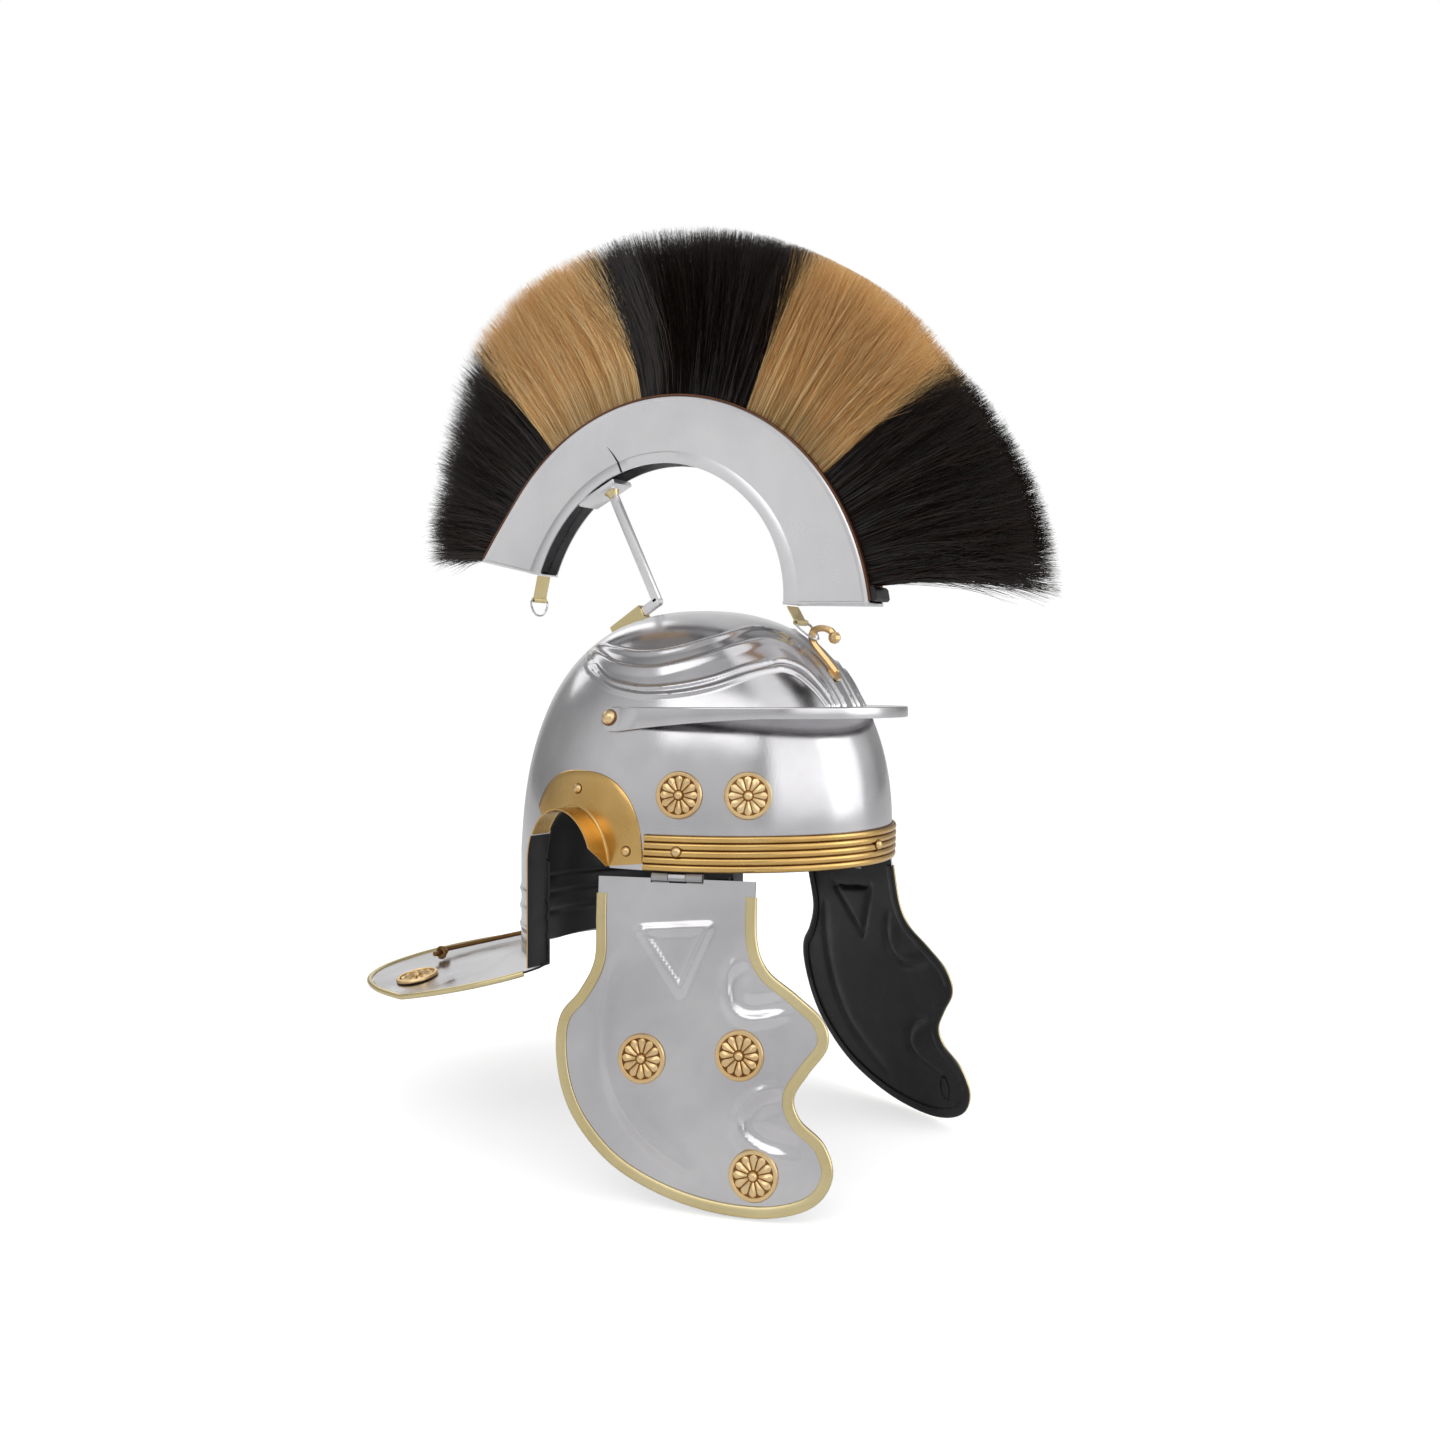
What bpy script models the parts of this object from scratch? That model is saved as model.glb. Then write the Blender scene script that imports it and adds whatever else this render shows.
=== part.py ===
"""Roman legionary helmet with a fore-and-aft hair crest and hinged cheek guards.

Metres. +X is the wearer's left, -Y the front and +Z up. The origin is inside the crown, where
the helmet sits on a head. In the helpers below a place is often given as its distance forward
of the bowl's axis and its height, because most of the helmet is drawn in side view.
"""

import math

import bmesh
import bpy
from mathutils import Matrix, Vector
from mathutils.bvhtree import BVHTree

# Sheets and clearances
SHEET = 0.0012
BRASS_SHEET = 0.0008
GAP = 0.0003

# Bowl: an ellipse in plan and a superellipse in side view
BOWL_HALF_LENGTH = 0.1182
BOWL_HALF_WIDTH = 0.0993
BOWL_HEIGHT = 0.1447
BOWL_FULLNESS = 2.37
BOWL_LEAN = 0.0025
NAPE_DEPTH = 0.0665
NAPE_RIDGE_HEIGHT = 0.0015
EYEBROW_RADIUS = 0.0016

# Ear opening in the bowl's side
EAR_FRONT = 0.010
EAR_REAR = -0.0429
EAR_ARCH_HEIGHT = 0.0315
EAR_CORNER_DEPTH = 0.0590
EAR_FLANGE_WIDTH = 0.015
EAR_GUARD_FRONT = 0.0307
EAR_GUARD_BACK = 0.0580
EAR_GUARD_HEIGHT = 0.052
EAR_GUARD_FULLNESS = 2.5

# Neck guard
NECK_HALF_WIDTH = 0.126
NECK_REACH = 0.212
NECK_EDGE_DROP = 0.0245
NECK_BINDING_RADIUS = 0.0017

# Brow band round the front of the rim
BAND_HEIGHT = 0.0195
BAND_THICKNESS = 0.0010
BAND_RIB_HEIGHT = 0.0012
BAND_RIBS = 5

# Peak across the brow
PEAK_HEIGHT_ABOVE_RIM = 0.0875
PEAK_REACH = 0.0245
PEAK_LIP = 0.0062
PEAK_END_FORWARD = -0.0035
PEAK_TAB_HEIGHT = 0.0135
PEAK_TAB_START = 0.93
PEAK_SEAT = 0.0007

# Rosettes and rivets
ROSETTE_RADIUS = 0.0128
ROSETTE_THICKNESS = 0.0012
ROSETTE_PETALS = 12
RIVET_RADIUS = 0.0026
RIVET_HEIGHT = 0.0016
PEAK_RIVET_RADIUS = 0.0042
BAND_RIVET_RISE = 0.56
TOP_RIVET_AHEAD = 0.002
LOW_RIVET_AHEAD = 0.0008
BOWL_ROSETTE_RISE = 0.281
ROSETTE_SPACING = 2.5
NECK_ROSETTE_SWEEP = 0.55
NECK_ROSETTE_DEPTH = 0.74

# Crest holder: two plates cut between two circles, closed at both ends
CREST_FORWARD = -0.0323
CREST_CENTRE_HEIGHT = -0.0187
CREST_OUTER_RADIUS = 0.1533
CREST_INNER_RADIUS = 0.1028
CREST_INNER_RISE = 0.0096
CREST_REAR_ANGLE = 158.0
CREST_FRONT_ANGLE = 7.0
CREST_WIDTH = 0.018
CREST_PLATE = 0.0010
CREST_CORE_DEPTH = 0.002
CREST_TOE = 0.0045
CREST_TOE_SWEEP = 3.0
CREST_REAR_FLARE = 0.0077
CREST_FLARE_SWEEP = 20.0
CREST_FRONT_TUCK = 0.0057
CREST_TUCK_SWEEP = 35.0

# Post that carries the crest, its bracket and the socket on the crown
POST_TOP_FORWARD = -0.0725
POST_FOOT_FORWARD = -0.0345
POST_WIDTH = 0.0062
POST_THICKNESS = 0.0040
POST_TANG_LENGTH = 0.030
BRACKET_LENGTH = 0.043
BRACKET_THICKNESS = 0.0035
BRACKET_REST_ANGLE = 115.0
BRACKET_TILT = 4.0
SOCKET_MOUTH_FORWARD = -0.0450
SOCKET_LENGTH = 0.027
SOCKET_WALL = 0.0012
SOCKET_SAG = 0.0008

# Plume
PLUME_LENGTH = 0.109
PLUME_FAN = 1.056
PLUME_ROOT_WIDTH = 0.0130
PLUME_WIDTH = 0.036
LOCKS_PER_SECTOR = 5
LOCK_GROOVE_REACH = 0.955
LOCK_GROOVE_WIDTH = 0.86

# Straps, rings and hook
STRAP_WIDTH = 0.0118
FRONT_STRAP_LENGTH = 0.0110
REAR_STRAP_LENGTH = 0.0165
STRAP_SAG = 0.25
REAR_STRAP_SEAT = 0.075
REAR_STRAP_WAY = (-0.25, -0.97)
RING_WIRE = 0.0007
RING_WIDTH = 0.0160
RING_LENGTH = 0.0105
HOOK_WIRE = 0.0021
HOOK_BALL = 0.0037
HOOK_FOOT_FORWARD = 0.0925
HOOK_HEIGHT = 0.0292

# Cheek guards and their hinges
CHEEK_WIDTH = 0.1485
CHEEK_HEIGHT = 0.1665
CHEEK_FLARE = 9.4
CHEEK_BINDING_WIDTH = 0.0048
CHEEK_BINDING_SHEET = 0.0007
CHEEK_RELIEF_RADIUS = 0.0013
CHEEK_EDGE_SLACK = 0.0007
HINGE_FORWARD = 0.0497
HINGE_DROP = 0.0030
HINGE_LENGTH = 0.028
HINGE_RADIUS = 0.0024
HINGE_PIN_RADIUS = 0.0010
HINGE_LEAF_HEIGHT = 0.014

# Carrying handle on the neck guard, its eyes set at shares of the guard's sweep and depth
HANDLE_WIRE = 0.0016
HANDLE_REACH = 0.012
HANDLE_STUB = 0.006
HANDLE_DROP = 0.0016
EYE_WIRE = 0.0013
EYE_SWEEP = 0.70
EYE_DEPTH = 0.60

RIM_HEIGHT = SHEET - BOWL_HEIGHT
SIDES = (("right", -1), ("left", 1))

# Neck guard's plan: share of its half width, share of its reach behind the ear opening
NECK_PLAN = (
    (0.76, 0.000),
    (0.83, 0.055),
    (0.90, 0.130),
    (0.96, 0.220),
    (0.995, 0.330),
    (1.00, 0.470),
    (0.955, 0.660),
    (0.83, 0.810),
    (0.63, 0.910),
    (0.40, 0.965),
    (0.20, 0.992),
    (0.00, 1.000),
)

# Eyebrow ridges: degrees round from the front, share of the bowl's height below the crown
EYEBROWS = (
    ((126, 0.160), (98, 0.188), (82, 0.197), (68, 0.167), (53, 0.120), (36, 0.096), (18, 0.089),
     (7, 0.114), (6.5, 0.190), (6, 0.290)),
    ((119, 0.200), (90, 0.238), (78, 0.247), (65, 0.224), (51, 0.178), (38, 0.150), (25, 0.142),
     (15, 0.160), (10, 0.234), (7.5, 0.330)),
    ((122, 0.225), (98, 0.290), (82, 0.352), (73, 0.358), (62, 0.338), (50, 0.297), (39, 0.255),
     (28, 0.247), (20, 0.285), (15, 0.345)),
)

# Sections along half of the peak, as shares of its sweep: close together in the tab
PEAK_SHARES = (0.0, 0.1, 0.2, 0.3, 0.4, 0.5, 0.6, 0.7, 0.8, 0.88, 0.93, 0.95, 0.965, 0.985, 1.0)

# Nape ridges: share of the wall below the rim
NAPE_RIDGES = (0.39, 0.56, 0.74)

# Cheek guard's outline below the hinge: share of its width forward, share of its height down
CHEEK_OUTLINE = (
    (-0.296, 0.004),
    (-0.292, 0.130),
    (-0.288, 0.270),
    (-0.340, 0.372),
    (-0.404, 0.445),
    (-0.418, 0.540),
    (-0.388, 0.670),
    (-0.318, 0.780),
    (-0.190, 0.885),
    (-0.020, 0.955),
    (0.170, 0.993),
    (0.370, 0.995),
    (0.520, 0.950),
    (0.580, 0.865),
    (0.548, 0.776),
    (0.464, 0.712),
    (0.441, 0.645),
    (0.490, 0.570),
    (0.552, 0.490),
    (0.533, 0.415),
    (0.440, 0.345),
    (0.335, 0.275),
    (0.292, 0.180),
    (0.288, 0.004),
)

# Raised lines on a cheek guard, in the same shares
CHEEK_RELIEF = (
    ((-0.125, 0.170), (0.125, 0.150), (0.030, 0.350), (-0.125, 0.170)),
    ((-0.215, 0.275), (-0.248, 0.400), (-0.245, 0.510), (-0.225, 0.610), (-0.170, 0.720),
     (-0.060, 0.820), (0.110, 0.912)),
    ((0.235, 0.255), (0.193, 0.325), (0.205, 0.395), (0.270, 0.425), (0.400, 0.405)),
    ((0.390, 0.622), (0.310, 0.648), (0.255, 0.705), (0.262, 0.752), (0.330, 0.782), (0.440, 0.800)),
)

# Rosettes on a cheek guard, in the same shares
CHEEK_ROSETTES = {"rear": (-0.100, 0.565), "front": (0.252, 0.534), "lower": (0.316, 0.882)}

# Front hook's line above its foot, as shares of its height: forward, up
HOOK_ROUTE = (
    (-0.147, 0.310),
    (-0.394, 0.572),
    (-0.483, 0.733),
    (-0.445, 0.880),
    (-0.253, 0.928),
    (-0.058, 0.870),
    (0.027, 0.760),
)

# Where on that line the front ring is caught
HOOK_CATCH = (-0.472, 0.795)

# Hook's riveted foot and the ball on its tip, from top to base: radius and height
HOOK_FOOT = ((0, 0.0018), (0.0042, 0.0016), (0.0046, 0), (0, 0))
BALL_TURNS = (0, 0.7, 1.3, 1.85, 2.45, math.pi)

# Half of the carrying handle: outwards from its eye, share of its reach back
HANDLE_BEND = ((HANDLE_STUB, 0.0), (-0.004, 0.0), (-0.0065, 0.25), (-0.010, 0.8), (-0.014, 1.0))

# Half of a wire ring: share of its half width, share of its length
RING_SHAPE = ((0.0, 0.0), (0.84, 0.0), (1.0, 0.14), (0.96, 0.40), (0.74, 0.72), (0.38, 0.95), (0.0, 1.0))

# Plume outline: degrees round the crest's centre, share of the plume's length
PLUME_OUTLINE = (
    (164.0, 0.42),
    (157.0, 0.53),
    (150.0, 0.60),
    (143.0, 0.69),
    (135.0, 0.81),
    (129.0, 0.91),
    (122.0, 0.99),
    (113.0, 1.00),
    (101.0, 0.97),
    (92.0, 0.945),
    (68.0, 0.89),
    (46.0, 0.87),
    (39.0, 0.845),
    (28.0, 0.88),
    (9.0, 0.925),
    (4.0, 0.89),
)

# A lock from its root to its tip: share of its length, share of its greatest half width
LOCK_SHAPE = ((0.22, 0.66), (0.68, 1.0), (1.0, 0.55))

# Where one colour of hair gives way to the next, as degrees round the crest
PLUME_JOINS = (123.6, 93.6, 63.3, 37.7)

# Finishes: colour, metallic, roughness
STEEL = ("steel", (0.78, 0.77, 0.77), 1.0, 0.28)
BRASS = ("brass", (0.80, 0.58, 0.24), 1.0, 0.30)
PALE_BRASS = ("pale_brass", (0.78, 0.71, 0.44), 1.0, 0.34)
BLACK_PAINT = ("black_paint", (0.03, 0.03, 0.035), 0.0, 0.40)
DARK_HAIR = ("dark_hair", (0.025, 0.020, 0.018), 0.0, 0.70)
TAN_HAIR = ("tan_hair", (0.62, 0.40, 0.18), 0.0, 0.70)


def clear_scene():
    for item in list(bpy.data.objects):
        bpy.data.objects.remove(item)


def new_collection(name):
    collection = bpy.data.collections.new(name)
    bpy.context.scene.collection.children.link(collection)
    return collection


clear_scene()
HELMET = new_collection("roman_helmet")
HELPERS = new_collection("cutters_and_guides")


def finish_material(finish):
    name, colour, metallic, roughness = finish
    found = bpy.data.materials.get(name)
    if found:
        return found
    material = bpy.data.materials.new(name)
    material.use_nodes = True
    shader = material.node_tree.nodes["Principled BSDF"]
    shader.inputs["Base Color"].default_value = (*colour, 1.0)
    shader.inputs["Metallic"].default_value = metallic
    shader.inputs["Roughness"].default_value = roughness
    return material


def add_object(name, mesh, finish=None):
    """Link a mesh as a piece of the helmet, or as a hidden helper when it has no finish."""
    item = bpy.data.objects.new(name, mesh)
    if finish:
        HELMET.objects.link(item)
        if not mesh.materials:
            mesh.materials.append(finish_material(finish))
    else:
        HELPERS.objects.link(item)
        item.hide_render = True
        item.display_type = "WIRE"
    return item


def mesh_from(bm, name, closed=True):
    if closed:
        bmesh.ops.recalc_face_normals(bm, faces=bm.faces)
    mesh = bpy.data.meshes.new(name)
    bm.to_mesh(mesh)
    bm.free()
    mesh.shade_smooth()
    mesh.set_sharp_from_angle(angle=math.radians(35))
    return mesh


def side_view(forward, height, side=0.0):
    return Vector((side, -forward, height))


def loft(name, sections, finish=None, ring=False):
    """Join equal closed sections in order, with a flat cap on each end unless they form a ring."""
    bm = bmesh.new()
    rows = [[bm.verts.new(point) for point in section] for section in sections]
    count = len(rows[0])
    pairs = list(zip(rows, rows[1:]))
    if ring:
        pairs.append((rows[-1], rows[0]))
    for first, second in pairs:
        for i in range(count):
            j = (i + 1) % count
            bm.faces.new((first[i], first[j], second[j], second[i]))
    if not ring:
        bm.faces.new(rows[0])
        bm.faces.new(list(reversed(rows[-1])))
    return add_object(name, mesh_from(bm, name), finish)


def prism(name, outline, axis, start, end, finish=None):
    """Push a flat closed outline along an axis, from start to end."""
    return loft(name, [[point + axis * reach for point in outline] for reach in (start, end)], finish)


def smooth_line(points, steps):
    """Points on a smooth curve through the given ones, steps to each stretch."""
    spaced = [points[0], *points, points[-1]]
    line = []
    for before, start, end, after in zip(spaced, spaced[1:], spaced[2:], spaced[3:]):
        for step in range(steps):
            t = step / steps
            line.append(
                tuple(
                    0.5 * (2 * b + (c - a) * t + (2 * a - 5 * b + 4 * c - d) * t * t
                           + (3 * b - a - 3 * c + d) * t ** 3)
                    for a, b, c, d in zip(before, start, end, after)
                )
            )
    line.append(tuple(points[-1]))
    return line


def thinned(line, slack):
    """A line without the points that lie nearly straight between their neighbours."""
    kept = [Vector(line[0])]
    for point, after in zip(line[1:], line[2:]):
        point, after = Vector(point), Vector(after)
        chord = (after - kept[-1]).normalized()
        offset = point - kept[-1]
        if (offset - chord * offset.dot(chord)).length > slack:
            kept.append(point)
    kept.append(Vector(line[-1]))
    return kept


def lookup(table, place):
    """Read the second column of a table at a place in its first, which rises or falls."""
    rows = sorted(table)
    if place <= rows[0][0]:
        return rows[0][1]
    for (x0, y0), (x1, y1) in zip(rows, rows[1:]):
        if place <= x1:
            return y0 + (y1 - y0) * (place - x0) / (x1 - x0)
    return rows[-1][1]


def wire(name, points, radius, finish=None, rounds=1, closed=False):
    """A round wire along a line of points, made a welded mesh."""
    data = bpy.data.curves.new(name, "CURVE")
    data.dimensions = "3D"
    data.bevel_depth = radius
    data.bevel_resolution = rounds
    data.use_fill_caps = not closed
    spline = data.splines.new("POLY")
    spline.points.add(len(points) - 1)
    for item, point in zip(spline.points, points):
        item.co = (*point, 1.0)
    spline.use_cyclic_u = closed
    curve = bpy.data.objects.new(name, data)
    HELPERS.objects.link(curve)
    evaluated = curve.evaluated_get(bpy.context.evaluated_depsgraph_get())
    mesh = bpy.data.meshes.new_from_object(evaluated)
    bpy.data.objects.remove(curve)
    bm = bmesh.new()
    bm.from_mesh(mesh)
    bmesh.ops.remove_doubles(bm, verts=bm.verts, dist=1e-6)
    mesh.materials.clear()
    bmesh.ops.recalc_face_normals(bm, faces=bm.faces)
    bm.to_mesh(mesh)
    bm.free()
    mesh.shade_smooth()
    mesh.set_sharp_from_angle(angle=math.radians(50))
    return add_object(name, mesh, finish)


def boolean(item, helper, operation="DIFFERENCE", overlapping=False):
    modifier = item.modifiers.new(helper.name, "BOOLEAN")
    modifier.operation = operation
    modifier.object = helper
    modifier.solver = "EXACT"
    modifier.use_self = overlapping


def facing(location, direction, spin=Vector((0, 0, 1))):
    """A frame at a location whose +Z is the direction and whose +X stays near the spin."""
    normal = direction.normalized()
    across = (spin - normal * spin.dot(normal)).normalized()
    turn = Matrix((across, normal.cross(across), normal)).transposed().to_4x4()
    return Matrix.Translation(location) @ turn


def bowl_share(height):
    """How much of its full plan the bowl has at a height."""
    rise = min(max((height - RIM_HEIGHT) / BOWL_HEIGHT, 0.0), 1.0)
    return (1 - rise ** BOWL_FULLNESS) ** (1 / BOWL_FULLNESS)


def bowl_lean(height):
    """How far forward the bowl's middle lies at a height."""
    rise = min(max((height - RIM_HEIGHT) / BOWL_HEIGHT, 0.0), 1.0)
    return BOWL_LEAN * 4 * rise * (1 - rise)


def bowl_point(angle, height):
    """A point on the bowl's outer face, its angle in degrees from the front to the left."""
    turn = math.radians(angle)
    share = bowl_share(height)
    forward = BOWL_HALF_LENGTH * share * math.cos(turn) + bowl_lean(height)
    return side_view(forward, height, BOWL_HALF_WIDTH * share * math.sin(turn))


def bowl_normal(angle, height):
    step = 0.0004
    round_it = bowl_point(angle + 0.4, height) - bowl_point(angle - 0.4, height)
    upward = bowl_point(angle, height + step) - bowl_point(angle, height - step)
    return round_it.cross(upward).normalized()


def on_bowl(angle, height, out=0.0):
    return bowl_point(angle, height) + bowl_normal(angle, height) * out


def bowl_angle(forward, height):
    """The angle on the left side at which the bowl's wall lies a distance forward."""
    reach = (forward - bowl_lean(height)) / (BOWL_HALF_LENGTH * bowl_share(height))
    return math.degrees(math.acos(min(max(reach, -1.0), 1.0)))


def crown_height(forward):
    """The height of the bowl's outer face on its middle line."""
    height = RIM_HEIGHT + BOWL_HEIGHT
    for _ in range(6):
        share = min(abs(forward - bowl_lean(height)) / BOWL_HALF_LENGTH, 1.0)
        height = RIM_HEIGHT + BOWL_HEIGHT * (1 - share ** BOWL_FULLNESS) ** (1 / BOWL_FULLNESS)
    return height


CUT_MARGIN = 0.002
NECK_START = EAR_REAR + CUT_MARGIN
NECK_ANGLE = bowl_angle(NECK_START, RIM_HEIGHT)
NECK_STEPS = 9


def neck_edge(place):
    """A point of the neck guard's edge, from 0 at the ear to 1 at the middle of the back."""
    spot = place * (len(NECK_PLAN) - 1)
    row = min(int(spot), len(NECK_PLAN) - 2)
    (side_a, back_a), (side_b, back_b) = NECK_PLAN[row], NECK_PLAN[row + 1]
    part = spot - row
    side = side_a + (side_b - side_a) * part
    back = back_a + (back_b - back_a) * part
    forward = NECK_START - back * (NECK_REACH + NECK_START)
    drop = NECK_EDGE_DROP * min(back * 2, 1.0) ** 0.75
    return side_view(forward, RIM_HEIGHT - EAR_CORNER_DEPTH - drop, side * NECK_HALF_WIDTH)


def neck_root_depth(place):
    return EAR_CORNER_DEPTH + (NAPE_DEPTH - EAR_CORNER_DEPTH) * place


def neck_point(place, out):
    """A point of the neck guard's upper face, out from 0 at the nape to 1 at its edge."""
    angle = NECK_ANGLE + (180.0 - NECK_ANGLE) * place
    root = bowl_point(angle, RIM_HEIGHT)
    root.z -= neck_root_depth(place)
    edge = neck_edge(place)
    point = root.lerp(edge, out)
    point.z = root.z + (edge.z - root.z) * out ** 0.8
    return point


def mirrored(point, side):
    return Vector((point.x * side, point.y, point.z))


def bowl_shell():
    """The bowl's outer face with the nape wall and the neck guard, as one open sheet."""
    dome_rows, front_steps, rear_steps = 8, 22, NECK_STEPS * 2
    angles = [-NECK_ANGLE + 2 * NECK_ANGLE * i / front_steps for i in range(front_steps)]
    rear_sweep = 360.0 - 2 * NECK_ANGLE
    angles += [NECK_ANGLE + rear_sweep * i / rear_steps for i in range(rear_steps)]
    bm = bmesh.new()
    pole = bm.verts.new((0, 0, RIM_HEIGHT + BOWL_HEIGHT))
    rows = []
    for row in range(1, dome_rows + 1):
        tilt = math.pi / 2 * row / dome_rows
        rise = max(math.cos(tilt), 0.0) ** (2 / BOWL_FULLNESS) if row < dome_rows else 0.0
        height = RIM_HEIGHT + BOWL_HEIGHT * rise
        rows.append([bm.verts.new(bowl_point(angle, height)) for angle in angles])
    count = len(angles)
    for i in range(count):
        bm.faces.new((pole, rows[0][i], rows[0][(i + 1) % count]))
    for upper, lower in zip(rows, rows[1:]):
        for i in range(count):
            j = (i + 1) % count
            bm.faces.new((upper[i], lower[i], lower[j], upper[j]))

    levels = [(0.30, 0.0)]
    for ridge in NAPE_RIDGES:
        levels += [(ridge, NAPE_RIDGE_HEIGHT), (ridge + 0.085, 0.0)]
    columns = []
    for i in range(rear_steps + 1):
        place = 1 - abs(1 - 2 * i / rear_steps)
        angle = NECK_ANGLE + rear_sweep * i / rear_steps
        side = 1 if i <= rear_steps / 2 else -1
        column = [rows[-1][(front_steps + i) % count]]
        for depth, out in levels:
            point = bowl_point(angle, RIM_HEIGHT) + bowl_normal(angle, RIM_HEIGHT) * out
            point.z -= depth * neck_root_depth(place)
            column.append(bm.verts.new(point))
        for reach in (0.0, 0.12, 0.50, 1.0):
            column.append(bm.verts.new(mirrored(neck_point(place, reach), side)))
        columns.append(column)
    for near, far in zip(columns, columns[1:]):
        for i in range(len(near) - 1):
            bm.faces.new((near[i], near[i + 1], far[i + 1], far[i]))
    return mesh_from(bm, "bowl", closed=False)


def ear_arch(turn, out=0.0):
    """A point of the ear opening's arch in side view, its turn in degrees from the front."""
    middle = (EAR_FRONT + EAR_REAR) / 2
    half = (EAR_FRONT - EAR_REAR) / 2 + out
    angle = math.radians(turn)
    return middle + half * math.cos(angle), RIM_HEIGHT + (EAR_ARCH_HEIGHT + out) * math.sin(angle)


def ear_cutter():
    low = RIM_HEIGHT - NAPE_DEPTH - NECK_EDGE_DROP
    arch = [ear_arch(turn) for turn in range(0, 181, 15)]
    outline = [(EAR_FRONT, low), *arch, (EAR_REAR, low)]
    points = [side_view(forward, height) for forward, height in outline]
    return prism("ear_cutter", points, Vector((1, 0, 0)), -NECK_HALF_WIDTH, NECK_HALF_WIDTH)


def ear_flange(name, side):
    """The steel turned outwards along the opening's rear edge, joined to the bowl."""
    inset = GAP / 2
    edge = [ear_arch(turn, inset) for turn in (155, 163, 171, 180)]
    outer = [ear_arch(turn, inset + SHEET) for turn in (155, 163, 171, 180)]
    depth = EAR_CORNER_DEPTH + SHEET
    for share in (0.35, 0.7, 1.0):
        edge.append((EAR_REAR - inset, RIM_HEIGHT - depth * share))
        outer.append((EAR_REAR - inset - SHEET, RIM_HEIGHT - depth * share))
    sections = []
    for (forward, height), (back, back_height) in zip(edge, outer):
        wall = bowl_point(bowl_angle(forward, max(height, RIM_HEIGHT)), max(height, RIM_HEIGHT)).x
        root = (wall - SHEET * 0.6) * side
        tip = (wall + EAR_FLANGE_WIDTH) * side
        section = [
            side_view(forward, height, root),
            side_view(forward, height, tip),
            side_view(back, back_height, tip),
            side_view(back, back_height, root),
        ]
        sections.append(section)
    return loft(name, sections)


def draped(points, tree, out):
    """Points moved onto a faceted surface and then out along its slope."""
    line = []
    for point in points:
        place, normal, _, _ = tree.find_nearest(point)
        line.append(place + normal * out)
    return line


def make_bowl():
    mesh = bowl_shell()
    item = add_object("bowl", mesh, STEEL)
    bm = bmesh.new()
    bm.from_mesh(mesh)
    tree = BVHTree.FromBMesh(bm)
    bm.free()
    shell = item.modifiers.new("sheet", "SOLIDIFY")
    shell.thickness = SHEET
    shell.offset = -1.0
    shell.use_even_offset = True
    boolean(item, ear_cutter())
    for name, side in SIDES:
        boolean(item, ear_flange("ear_flange_" + name, side), "UNION")
        for number, table in enumerate(EYEBROWS):
            line = []
            for angle, depth in table:
                line.append(bowl_point(angle * side, RIM_HEIGHT + BOWL_HEIGHT * (1 - depth)))
            line = draped(line, tree, EYEBROW_RADIUS - SHEET * 0.75)
            ridge = wire("eyebrow_%s_%d" % (name, number), line, EYEBROW_RADIUS, rounds=0)
            boolean(item, ridge, "UNION")
    return item


def make_neck_binding():
    """Brass bead round the neck guard's edge."""
    line = []
    offset = GAP + NECK_BINDING_RADIUS
    half = [neck_edge(i / NECK_STEPS) for i in range(1, NECK_STEPS + 1)]
    edge = [mirrored(point, -1) for point in half] + list(reversed(half[:-1]))
    for i, point in enumerate(edge):
        ahead = edge[min(i + 1, len(edge) - 1)] - edge[max(i - 1, 0)]
        out = Vector((ahead.y, -ahead.x, 0)).normalized()
        if out.dot(Vector((point.x, point.y + EAR_REAR, 0))) < 0:
            out = -out
        line.append(point + out * offset - Vector((0, 0, SHEET / 2)))
    return wire("neck_binding", line, NECK_BINDING_RADIUS, PALE_BRASS, rounds=1)


def make_brow_band():
    """The ribbed strip round the front of the rim, from one ear guard to the other."""
    end = bowl_angle(EAR_GUARD_FRONT + 2 * GAP, RIM_HEIGHT)
    steps = 20
    sections = []
    for i in range(steps + 1):
        angle = -end + 2 * end * i / steps
        section = []
        for k in range(2 * BAND_RIBS + 1):
            out = GAP + BAND_THICKNESS + (BAND_RIB_HEIGHT if k % 2 else 0.0)
            section.append(on_bowl(angle, RIM_HEIGHT + BAND_HEIGHT * k / (2 * BAND_RIBS), out))
        section.append(on_bowl(angle, RIM_HEIGHT + BAND_HEIGHT, GAP))
        section.append(on_bowl(angle, RIM_HEIGHT, GAP))
        sections.append(section)
    return loft("brow_band", sections, BRASS)


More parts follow.
